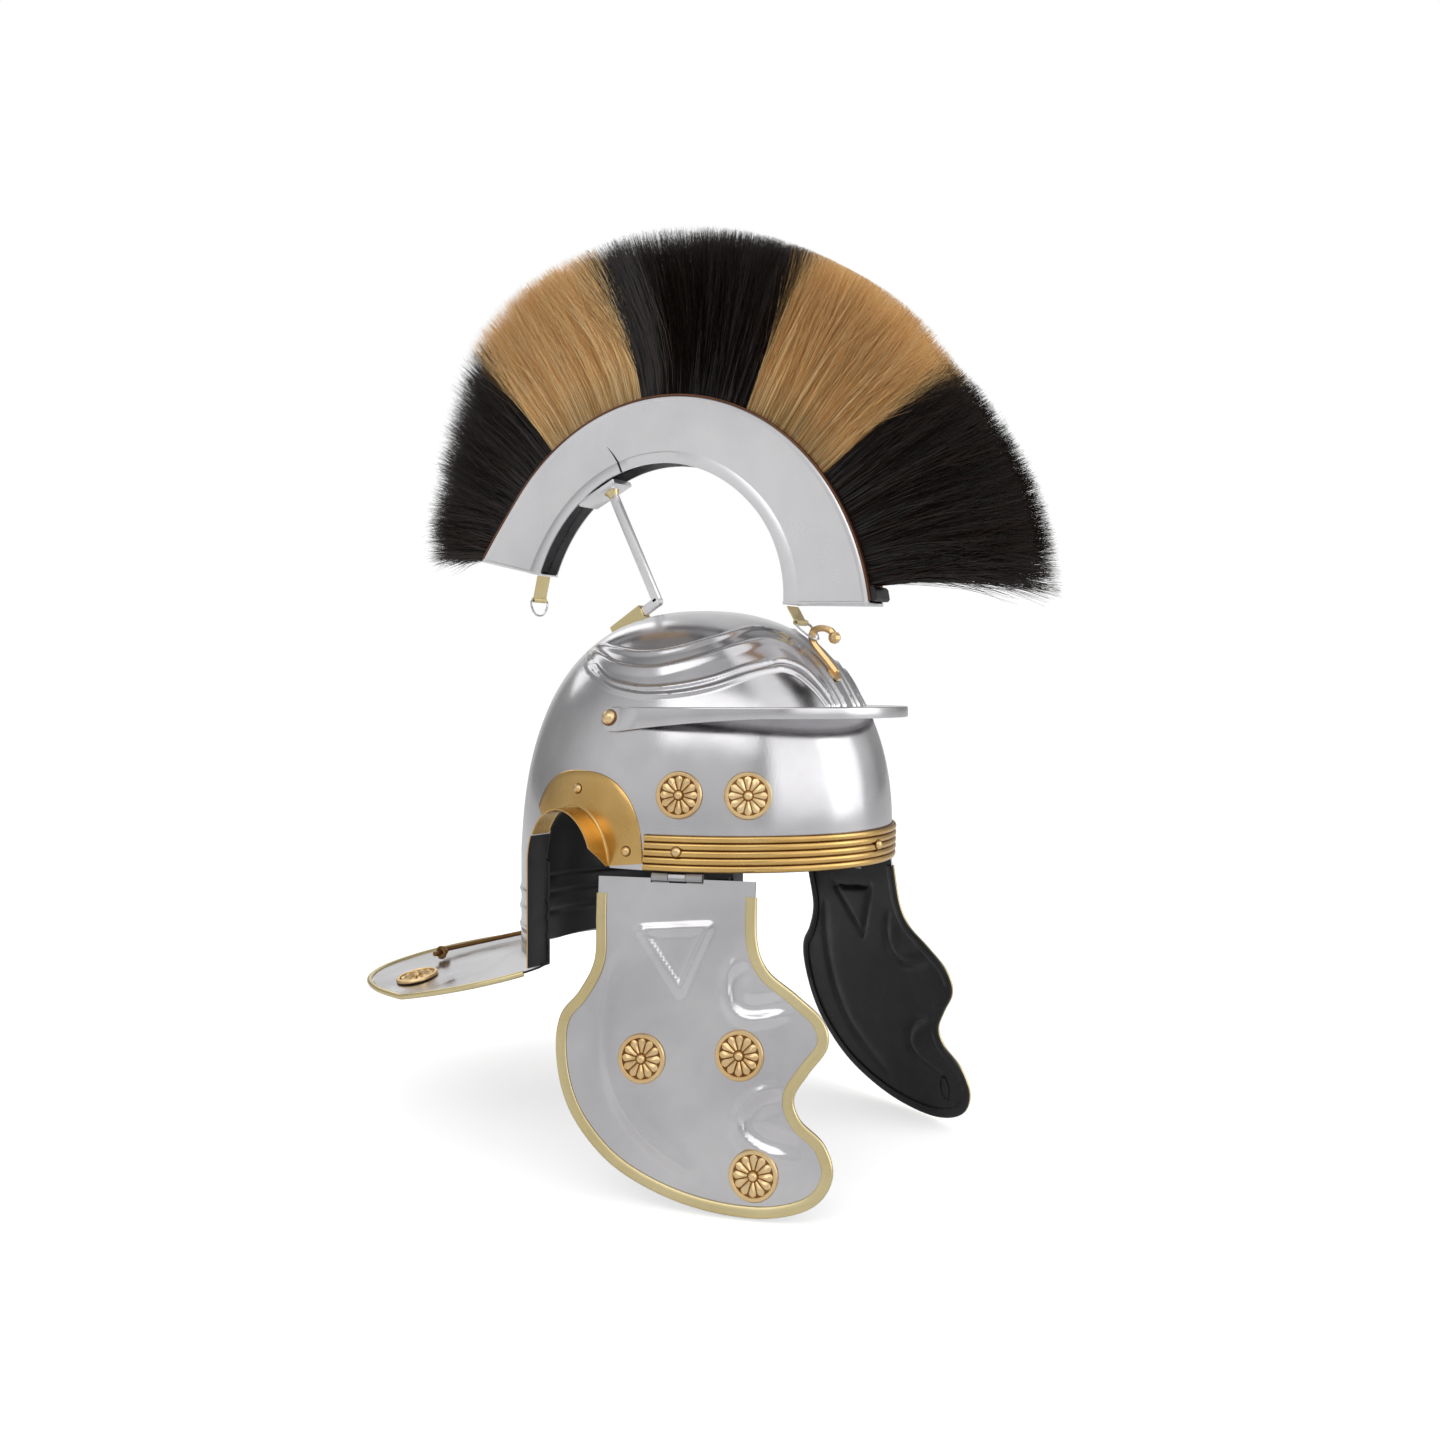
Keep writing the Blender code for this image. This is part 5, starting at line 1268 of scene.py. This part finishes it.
# Raised curves: how far they fall off outside and inside, and the hollow that lies inside two of them
cheekCurves = (
    {"line": ((-0.200, 0.235), (-0.232, 0.300), (-0.248, 0.400), (-0.245, 0.510), (-0.225, 0.610),
              (-0.170, 0.720), (-0.060, 0.820), (0.110, 0.912)),
     "outside": 0.0015, "inside": 0.0054, "hollow": 0.0, "reach": 0.016},
    {"line": ((0.235, 0.235), (0.200, 0.290), (0.196, 0.355), (0.230, 0.408), (0.300, 0.425),
              (0.440, 0.395)),
     "outside": 0.0026, "inside": 0.00208, "hollow": 0.0011, "reach": 0.013},
    {"line": ((0.400, 0.620), (0.320, 0.642), (0.262, 0.695), (0.255, 0.745), (0.290, 0.785),
              (0.360, 0.815), (0.470, 0.830)),
     "outside": 0.0026, "inside": 0.00208, "hollow": 0.0011, "reach": 0.013},
)
cheekRosettes = {"rear": (-0.100, 0.565), "front": (0.252, 0.534), "lower": (0.316, 0.882)}


class CheekPlane:
    def __init__(self, side):
        angle = bowlAngle(cheek["hingeForward"], bowl["rim"])
        wall, normal = bowlPoint(angle, bowl["rim"]), bowlNormal(angle, bowl["rim"])
        along = Vector((-normal.y, normal.x, 0)).normalized()
        if along.y > 0:
            along = -along
        flare = math.radians(cheek["flare"])
        down = normal * math.sin(flare) - Vector((0, 0, 1)) * math.cos(flare)
        out = normal * math.cos(flare) + Vector((0, 0, 1)) * math.sin(flare)
        self.origin = mirrored(wall + Vector((0, 0, -cheek["hingeDrop"])), side)
        self.along, self.down, self.out = (mirrored(v, side) for v in (along, down, out))

    def point(self, forward, down, out=0.0):
        return self.origin + self.along * forward + self.down * down + self.out * out


def inPlane(table, steps=6):
    return [Vector((f * cheek["width"], d * cheek["height"])) for f, d in smoothLine(table, steps)]


def flat(points):
    return np.array([(point[0], point[1], 0.0) for point in points])


def cheekRelief(points):
    points = flat(points)
    ridge = cheek["ridge"]
    corners = flat([(f * cheek["width"], d * cheek["height"]) for f, d in cheekTriangle])
    distance = nearestOnLine(points, corners)[0]
    height = ridge * cheek["triangleRidge"] * np.exp(-(distance / cheek["triangleWidth"]) ** 2)
    up = np.array((0.0, 0.0, 1.0))
    for curve in cheekCurves:
        distance, nearest, heading, along = nearestOnLine(points, flat(inPlane(curve["line"], 8)))
        front = np.sum(np.cross(up, heading) * (points - nearest), axis=1) < 0
        fade = np.clip(np.minimum(along, 1 - along) / 0.14, 0, 1)
        dip = np.sin(np.pi * np.clip(distance / curve["reach"], 0, 1)) ** 2 * curve["hollow"] / ridge
        inside = np.exp(-(distance / curve["inside"]) ** 2) - dip
        outside = np.exp(-(distance / curve["outside"]) ** 2)
        height += ridge * fade * np.where(front, inside, outside)
    return height


def gridInside(border, top):
    # Points of a square grid that lie inside the border and not too near it
    step = cheek["grid"]
    loop = np.array([(p.x, p.y) for p in border])
    following = np.roll(loop, -1, axis=0)
    found = []
    down = top + step
    while down < loop[:, 1].max():
        forward = loop[:, 0].min() + step * 0.5
        while forward < loop[:, 0].max():
            run, fall = following[:, 0] - loop[:, 0], following[:, 1] - loop[:, 1] + 1e-12
            slope = run * (down - loop[:, 1]) / fall
            crossed = ((loop[:, 1] > down) != (following[:, 1] > down)) & (forward < slope + loop[:, 0])
            nearest = np.min((loop[:, 0] - forward) ** 2 + (loop[:, 1] - down) ** 2)
            if crossed.sum() % 2 and nearest > (step * 0.55) ** 2:
                found.append(Vector((forward, down)))
            forward += step
        down += step
    return found


def ovalMesh(plane):
    # A raised oval inside the guard's lower tip
    oval = []
    for i in range(28):
        turn = 2 * math.pi * i / 28
        forward = cheek["ovalForward"] * cheek["width"] + cheek["ovalHalf"] * math.cos(turn)
        down = cheek["ovalDown"] * cheek["height"] + cheek["ovalHalf"] * cheek["ovalStretch"] * math.sin(turn)
        oval.append(plane.point(forward, down, -bowl["sheet"] / 2 - 0.0002))
    return wireMesh(oval, cheek["ovalWire"], 8, closed=True)


def makeCheekPlate(name, side):
    plane = CheekPlane(side)
    top = cheekOutline[0][1] * cheek["height"]
    border = inPlane(cheekOutline)
    border += [Vector(p) for p in ((cheek["hingeHalf"], top), (cheek["hingeHalf"], cheek["notch"]),
                                   (-cheek["hingeHalf"], cheek["notch"]), (-cheek["hingeHalf"], top))]
    edges = [(i, (i + 1) % len(border)) for i in range(len(border))]
    verts, _, faces, _, _, _ = delaunay_2d_cdt(border + gridInside(border, top), edges, [], 1, 1e-7)
    bm = bmesh.new()
    made = [bm.verts.new(plane.point(v.x, v.y, height + bowl["sheet"] / 2))
            for v, height in zip(verts, cheekRelief(verts))]
    for face in faces:
        bm.faces.new([made[i] for i in face])
    bmesh.ops.recalc_face_normals(bm, faces=bm.faces)
    faceOutward(bm, lambda face: plane.out)
    sheet = makeObject("sheet", meshFrom(bm, "sheet", recalculate=False), [steel, paint])
    parts = [walled(sheet, bowl["sheet"], material_offset=1), slotted(ovalMesh(plane), 1)]
    return joined("cheekPlate_" + name, parts, [steel, paint], sharp=50)


def offsetLine(line, distance):
    moved = []
    for i, point in enumerate(line):
        step = (line[min(i + 1, len(line) - 1)] - line[max(i - 1, 0)]).normalized()
        moved.append(Vector((point.x + step.y * distance, point.y - step.x * distance)))
    return moved


def bindingProfile():
    # Folded over the guard's edge: distance in from the edge, height from the guard's middle
    width, sheet = cheek["bindingWidth"], cheek["bindingSheet"]
    clear = bowl["sheet"] / 2 + seatGap
    face = clear + sheet
    half = [(-0.0009, face * 0.6), (-0.0003, face * 0.95), (0.0008, face), (width - 0.0004, face),
            (width, face - 0.0004), (width, clear), (-0.0003, clear)]
    return [(-0.0003 - sheet, 0.0)] + half + [(inward, -out) for inward, out in reversed(half)]


def makeCheekBinding(name, side):
    plane = CheekPlane(side)
    edge = inPlane(cheekOutline)[3:-2]
    lines = [(offsetLine(edge, inward), out) for inward, out in bindingProfile()]
    sections = [[plane.point(line[i].x, line[i].y, out) for line, out in lines] for i in range(len(edge))]
    item = makeObject("cheekBinding_" + name, loftMesh(sections), [paleBrass, paint], sharp=45)
    # its inner side is painted black with the guard
    outward = plane.along.cross(plane.down)
    outward = outward if outward.dot(plane.out) > 0 else -outward
    for face in item.data.polygons:
        face.material_index = int((face.center - plane.origin).dot(outward) < 0.0003)
    return item


for name, side in sides:
    body = "cheek_" + name
    finishPiece(makeCheekPlate(name, side), body, "cheek_guard_" + name)
    finishPiece(makeCheekBinding(name, side), body, "cheek_binding_" + name)
print("cheek guards done")


rosette = {
    "radius": 0.0128,
    "rim": 0.0023,
    "rimHeight": 0.0017,
    "floor": 0.0006,
    "petals": 12,
    "petalHeight": 0.0012,
    "petalFill": 0.94,  # share of its sector that a petal fills
    "petalRungs": 11,
    "hub": 0.0029,
    "bowlDepth": 0.281,  # share of the bowl's height above the rim
    "neckPlace": 0.55,
    "neckOut": 0.74,
    "neckGap": 0.0006,
}


def seatObject(seats):
    mesh = bpy.data.meshes.new("seats")
    mesh.from_pydata([tuple(place.translation) for place, scale in seats], [], [])
    mesh.attributes.new("turn", "FLOAT_VECTOR", "POINT")
    mesh.attributes.new("size", "FLOAT", "POINT")
    for i, (place, scale) in enumerate(seats):
        mesh.attributes["turn"].data[i].vector = tuple(place.to_euler("XYZ"))
        mesh.attributes["size"].data[i].value = scale
    return linked("seats", mesh)


def placingTree():
    # Sets a copy of the piece on each seat, its ground in a finish of its own: patina and painted shade
    tree, given, result = newTree("set on seats", [("Piece", "Object"), ("Material", "Material"),
                                                   ("Ground", "Material")])
    piece = addNode(tree, "GeometryNodeObjectInfo", {"Object": given["Piece"]})
    turn = addNode(tree, "GeometryNodeInputNamedAttribute", {"Name": "turn"}, data_type="FLOAT_VECTOR")
    copies = addNode(tree, "GeometryNodeInstanceOnPoints", {
        "Points": given["Geometry"], "Instance": piece.outputs["Geometry"],
        "Rotation": turn.outputs["Attribute"], "Scale": readNumber(tree, "size")})
    coloured = addNode(tree, "GeometryNodeSetMaterial", {
        "Geometry": realized(tree, copies.outputs["Instances"]), "Material": given["Material"]})
    ground = addNode(tree, "GeometryNodeSetMaterial", {
        "Geometry": coloured.outputs["Geometry"], "Material": given["Ground"],
        "Selection": mathNode(tree, "GREATER_THAN", readNumber(tree, "ground"), 0.5)})
    tree.links.new(ground.outputs["Geometry"], result["Geometry"])
    return tree


def petalTree():
    tree, given, result = newTree("ring of petals", [("Count", "Int"), ("Material", "Material")])
    points = addNode(tree, "GeometryNodePoints", {"Count": given["Count"]})
    index = Number(tree, addNode(tree, "GeometryNodeInputIndex").outputs[0])
    spin = addNode(tree, "ShaderNodeCombineXYZ", {"Z": index * (2 * math.pi) / given["Count"]})
    copies = addNode(tree, "GeometryNodeInstanceOnPoints", {
        "Points": points.outputs[0], "Instance": given["Geometry"], "Rotation": spin.outputs[0]})
    coloured = addNode(tree, "GeometryNodeSetMaterial", {
        "Geometry": realized(tree, copies.outputs["Instances"]), "Material": given["Material"]})
    tree.links.new(coloured.outputs["Geometry"], result["Geometry"])
    return tree


def turnedMesh(profile, count):
    # Turned on a lathe, radius and height by turns; a radius of 0 is a pole
    bm = bmesh.new()
    rows = []
    for radius, height in profile:
        turns = [2 * math.pi * i / count for i in range(count)] if radius else [0.0]
        rows.append([bm.verts.new((radius * math.cos(turn), radius * math.sin(turn), height))
                     for turn in turns])
    for upper, lower in zip(rows, rows[1:]):
        for i in range(count):
            j = (i + 1) % count
            ring = (upper[i % len(upper)], lower[i % len(lower)],
                    lower[j % len(lower)], upper[j % len(upper)])
            corners = list(dict.fromkeys(ring))
            if len(corners) > 2:
                bm.faces.new(corners)
    return meshFrom(bm, "turned")


def markGround(mesh, isGround):
    ground = mesh.attributes.new("ground", "FLOAT", "FACE")
    ground.data.foreach_set("value", [float(isGround(face)) for face in mesh.polygons])
    return mesh


def petalObject():
    # One rounded wedge along +X, narrow at the hub and round at its outer end
    bm = bmesh.new()
    half = math.pi / rosette["petals"] * rosette["petalFill"]
    first, last = rosette["hub"] * 1.05, rosette["radius"] - rosette["rim"] * 1.08
    rows = []
    for i in range(rosette["petalRungs"]):
        t = i / (rosette["petalRungs"] - 1)
        radius = first + (last - first) * t
        closing = math.sqrt(max(1 - (max(t - 0.70, 0) / 0.31) ** 2, 0.0))
        width = half * (0.78 + 0.22 * min(t / 0.7, 1)) * closing
        rise = 0.35 + 0.65 * math.sin(math.pi * min(0.12 + t * 0.80, 1))
        row = []
        for share in (-1, -0.86, -0.6, -0.3, 0, 0.3, 0.6, 0.86, 1):
            lift = math.sqrt(max(1 - share * share, 0.0)) * (0.86 + 0.14 * math.cos(share * 5.0))
            height = 0.0005 + rosette["petalHeight"] * lift * rise
            turn = width * share
            row.append(bm.verts.new((radius * math.cos(turn), radius * math.sin(turn), height)))
        rows.append(row)
    for near, far in zip(rows, rows[1:]):
        for i in range(len(near) - 1):
            bm.faces.new((near[i], near[i + 1], far[i + 1], far[i]))
    faceOutward(bm, lambda face: Vector((0, 0, 1)))
    return makeObject("petal", meshFrom(bm, "petal", recalculate=False), [brass])


def rosetteObject():
    ring = runTree(petalTree(), petalObject(), {"Count": rosette["petals"], "Material": roseBrass}, "petals")
    petals = ring.data
    bpy.data.objects.remove(ring)
    r, rim, top, low, hub = (rosette[size] for size in ("radius", "rim", "rimHeight", "floor", "hub"))
    floor = turnedMesh([(0, low), (r - rim * 1.02, low)], 48)
    edge = turnedMesh([(r - rim * 1.02, low), (r - rim, top * 0.72), (r - rim * 0.86, top * 0.94),
                       (r - rim * 0.62, top), (r - rim * 0.22, top * 0.92), (r, top * 0.50),
                       (r, 0.0), (0, 0.0)], 48)
    cap = turnedMesh([(0, 0.0034), (hub * 0.35, 0.0033), (hub * 0.62, 0.0029), (hub * 0.78, 0.0022),
                      (hub * 0.80, low)], 20)
    # The floor under the petals and round the hub is dark: patina and painted shade
    markGround(floor, lambda face: True)
    for mesh in (edge, cap, petals):
        markGround(mesh, lambda face: False)
    return joined("rosette", [floor, edge, cap, petals], [brass], sharp=35)


def bowlSeat(forward, height, side, out):
    angle = bowlAngle(forward, height) * side
    normal = bowlNormal(angle, height)
    return facing(bowlPoint(angle, height) + normal * out, normal)


def neckSeat(side):
    place, out = rosette["neckPlace"], rosette["neckOut"]
    along = neckPoint(place + 0.01, out) - neckPoint(place - 0.01, out)
    normal = along.cross(neckPoint(place, out + 0.01) - neckPoint(place, out - 0.01)).normalized()
    normal = normal if normal.z > 0 else -normal
    seat = neckPoint(place, out) + normal * rosette["neckGap"]
    return facing(mirrored(seat, side), mirrored(normal, side), Vector((0, 1, 0)))


def makeRosettes(tree):
    seats = {body: {} for body in ("helmet", "cheek_right", "cheek_left")}
    height = bowl["rim"] + bowl["height"] * rosette["bowlDepth"]
    front = cheek["hingeForward"] + 2.5 * rosette["radius"]
    for name, side in sides:
        for spot, forward in (("rear", cheek["hingeForward"]), ("front", front)):
            seats["helmet"]["rosette_bowl_%s_%s" % (spot, name)] = bowlSeat(forward, height, side, seatGap)
        seats["helmet"]["rosette_neck_" + name] = neckSeat(side)
        plane = CheekPlane(side)
        for spot, (forward, down) in cheekRosettes.items():
            place = plane.point(forward * cheek["width"], down * cheek["height"], bowl["sheet"] / 2 + seatGap)
            seats["cheek_" + name]["rosette_cheek_%s_%s" % (spot, name)] = facing(place, plane.out)
    piece = rosetteObject()
    for body, places in seats.items():
        seated = seatObject([(place, 1.0) for place in places.values()])
        item = runTree(tree, seated, {"Piece": piece, "Material": roseBrass, "Ground": patinaAndShade},
                       "rosettes_" + body)
        item.data.set_sharp_from_angle(angle=math.radians(35))
        finishPiece(item, body, *places)
    bpy.data.objects.remove(piece)


rivet = {
    "radius": 0.0026,
    "height": 0.0019,
    "shadeRing": 1.14,  # share of the head's radius that the ring of painted shade reaches
    "lift": 0.0006,
    "foot": 0.0008,
    "peakSize": 1.61,  # the peak's rivets are larger by this
    "peakShift": 0.00567,
    "topShift": 0.002,
    "frontShift": 0.0008,
    "bandShare": 0.56,
}


def rivetObject():
    # A round head, with a ring of painted shade round it where it meets the plate
    r, h = rivet["radius"], rivet["height"]
    dome = turnedMesh([(0, h), (r * 0.35, h * 0.95), (r * 0.7, h * 0.74), (r * 0.93, h * 0.38), (r, 0.0),
                       (r * rivet["shadeRing"], 0.0), (r * rivet["shadeRing"], -rivet["foot"]),
                       (0, -rivet["foot"])], 20)
    # The flat ring round the head takes the dark ground finish as painted shade
    markGround(dome, lambda face: face.center.z < 1e-5)
    return makeObject("dome", dome, [roseBrass], sharp=50)


def makeRivets(tree):
    lift = rivet["lift"]
    onBand = lift + browBand["sheet"] + browBand["ribHeight"]
    onGuard = lift + earGuard["sheet"]
    onPeak = lift + peak["seat"] + seatGap + bowl["sheet"]
    bandHeight = bowl["rim"] + browBand["height"] * rivet["bandShare"]
    topHeight = bowl["rim"] + (bowl["earHeight"] + earGuard["height"]) / 2
    lowHeight = bowl["rim"] + browBand["height"] * 0.5
    frontForward = (bowl["earFront"] + earGuard["front"]) / 2 + rivet["frontShift"]
    front = bowlNormal(0, bandHeight)
    seats = {"band_rivet_front": (facing(bowlPoint(0, bandHeight) + front * onBand, front), 1.0)}
    for name, side in sides:
        for label, forward, height, out, size in (
                ("band_rivet_", cheek["hingeForward"], bandHeight, onBand, 1.0),
                ("ear_guard_rivet_top_", earMiddle + rivet["topShift"], topHeight, onGuard, 1.0),
                ("ear_guard_rivet_front_", frontForward, lowHeight, onGuard, 1.0),
                ("peak_rivet_", peak["endForward"] + rivet["peakShift"],
                 peak["height"] - peak["tabHeight"] / 2,
                 onPeak, rivet["peakSize"])):
            seats[label + name] = (bowlSeat(forward, height, side, out), size)
    dome = rivetObject()
    item = runTree(tree, seatObject(list(seats.values())),
                   {"Piece": dome, "Material": roseBrass, "Ground": patinaAndShade}, "rivets")
    bpy.data.objects.remove(dome)
    finishPiece(item, "helmet", *seats)


seatingTree = placingTree()
makeRosettes(seatingTree)
makeRivets(seatingTree)
print("rosettes and rivets done")

# The small solids keep their shape, with a finer finish
fittings = {
    "crest_socket": paleBrass,
    "front_hook": roseBrass,
    "front_ring": steel,
    "rear_ring": steel,
    "front_strap": paleBrass,
    "rear_strap": paleBrass,
    "carrying_handle": darkBrass,
    "handle_eye_right": darkBrass,
    "handle_eye_left": darkBrass,
    "hinge_right": satinSteel,
    "hinge_left": satinSteel,
    "cheek_knuckles_right": satinSteel,
    "cheek_knuckles_left": satinSteel,
}

for name, finish in fittings.items():
    for slot in nodes[name].material_slots:
        slot.material = finish

stage = {
    "floor": -0.3135,
    "floorRadius": 30,
    "floorShade": 0.92,
    "floorGlow": 0.55,  # to the camera alone, so the floor fades into the pale ground
    "worldStrength": 1.7,
    "aim": (0, 0, -0.05),
    # place, width, height, power
    "softboxes": {
        "key": ((-1.6, -0.6, 1.5), 2.4, 1.2, 10.0),
        "fill": ((0.9, -1.7, 0.5), 1.2, 1.4, 5.0),
        "back": ((0.6, 1.8, 1.2), 1.4, 1.0, 5.0),
    },
    # angle from the camera's side, shade
    "walls": ((-180, 0.57), (-163, 0.54), (-148, 0.20), (-112, 0.24), (-92, 0.40), (-70, 0.50),
              (-20, 0.45), (8, 0.40), (18, 0.22), (26, 0.96), (80, 1.0), (90, 0.42), (112, 0.43),
              (132, 0.22), (158, 0.27), (170, 0.57), (180, 0.57)),
    # height of the direction, shade
    "heights": ((-1.0, 0.55), (-0.10, 0.66), (0.02, 0.74), (0.20, 0.84), (0.55, 0.72), (0.85, 0.58),
                (1.0, 0.68)),
}

view = {
    "turn": 36.2,  # degrees ahead of square on to the right side
    "place": (-0.6335, -0.4636, -0.047),
    "lens": 32.1,
    "shift": (0.0125, -0.0205),
}


def makeFloor():
    bm = bmesh.new()
    centre = bm.verts.new((0, 0, stage["floor"]))
    reach = stage["floorRadius"]
    rim = [bm.verts.new((reach * math.cos(2 * math.pi * i / 48), reach * math.sin(2 * math.pi * i / 48),
                         stage["floor"])) for i in range(48)]
    for i in range(48):
        bm.faces.new((centre, rim[i], rim[(i + 1) % 48]))
    material, tree, shader = newMaterial("pale floor", (stage["floorShade"],) * 3, 0.0, 0.9)
    shader.inputs["Emission Color"].default_value = (1, 1, 1, 1)
    seen = Number(tree, addNode(tree, "ShaderNodeLightPath").outputs["Is Camera Ray"])
    tree.links.new((seen * stage["floorGlow"]).socket, shader.inputs["Emission Strength"])
    floor = makeObject("floor", meshFrom(bm, "floor"), [material])


def makeSoftboxes():
    for name, (place, width, height, power) in stage["softboxes"].items():
        data = bpy.data.lights.new(name, "AREA")
        data.shape = "RECTANGLE"
        data.size, data.size_y = width, height
        data.energy = power
        item = linked(name, data)
        item.location = place
        item.rotation_euler = (Vector(stage["aim"]) - Vector(place)).to_track_quat("-Z", "Y").to_euler()


def makeRoom():
    # The pale room that the steel mirrors: shade by angle round and by height
    world = bpy.data.worlds.new("studio")
    bpy.context.scene.world = world
    world.use_nodes = True
    tree = world.node_tree
    direction = addNode(tree, "ShaderNodeTexCoord").outputs["Generated"]
    split = addNode(tree, "ShaderNodeSeparateXYZ", {0: direction})
    x, y, z = (Number(tree, output) for output in split.outputs)
    aim = math.radians(view["turn"])
    towards = x * -math.cos(aim) - y * math.sin(aim)
    rightwards = x * math.sin(aim) - y * math.cos(aim)
    around = rightwards.take("ARCTAN2", towards) * (0.5 / math.pi) + 0.5
    walls = addRamp(tree, around.socket, [((angle + 180) / 360, (shade,)) for angle, shade in stage["walls"]])
    level = addRamp(tree, (z * 0.5 + 0.5).socket,
                    [((height + 1) / 2, (shade,)) for height, shade in stage["heights"]])
    seen = addNode(tree, "ShaderNodeLightPath").outputs["Is Camera Ray"]
    mix = addNode(tree, "ShaderNodeMix", {
        "Factor": seen, "A": multiplied(tree, walls, level), "B": (1.0 / stage["worldStrength"],) * 3 + (1,)},
        data_type="RGBA")
    background = tree.nodes["Background"]
    tree.links.new(mix.outputs["Result"], background.inputs["Color"])
    background.inputs["Strength"].default_value = stage["worldStrength"]


def makeCamera():
    data = bpy.data.cameras.new("camera")
    data.sensor_width = 36
    data.lens = view["lens"]
    data.shift_x, data.shift_y = view["shift"]
    data.clip_start = 0.01
    camera = linked("camera", data)
    camera.location = view["place"]
    turn = math.radians(view["turn"])
    camera.rotation_euler = Vector((math.cos(turn), math.sin(turn), 0)).to_track_quat("-Z", "Y").to_euler()
    bpy.context.scene.camera = camera


makeFloor()
makeSoftboxes()
makeRoom()
makeCamera()
bpy.context.scene.view_settings.view_transform = "Standard"
print("stage done")
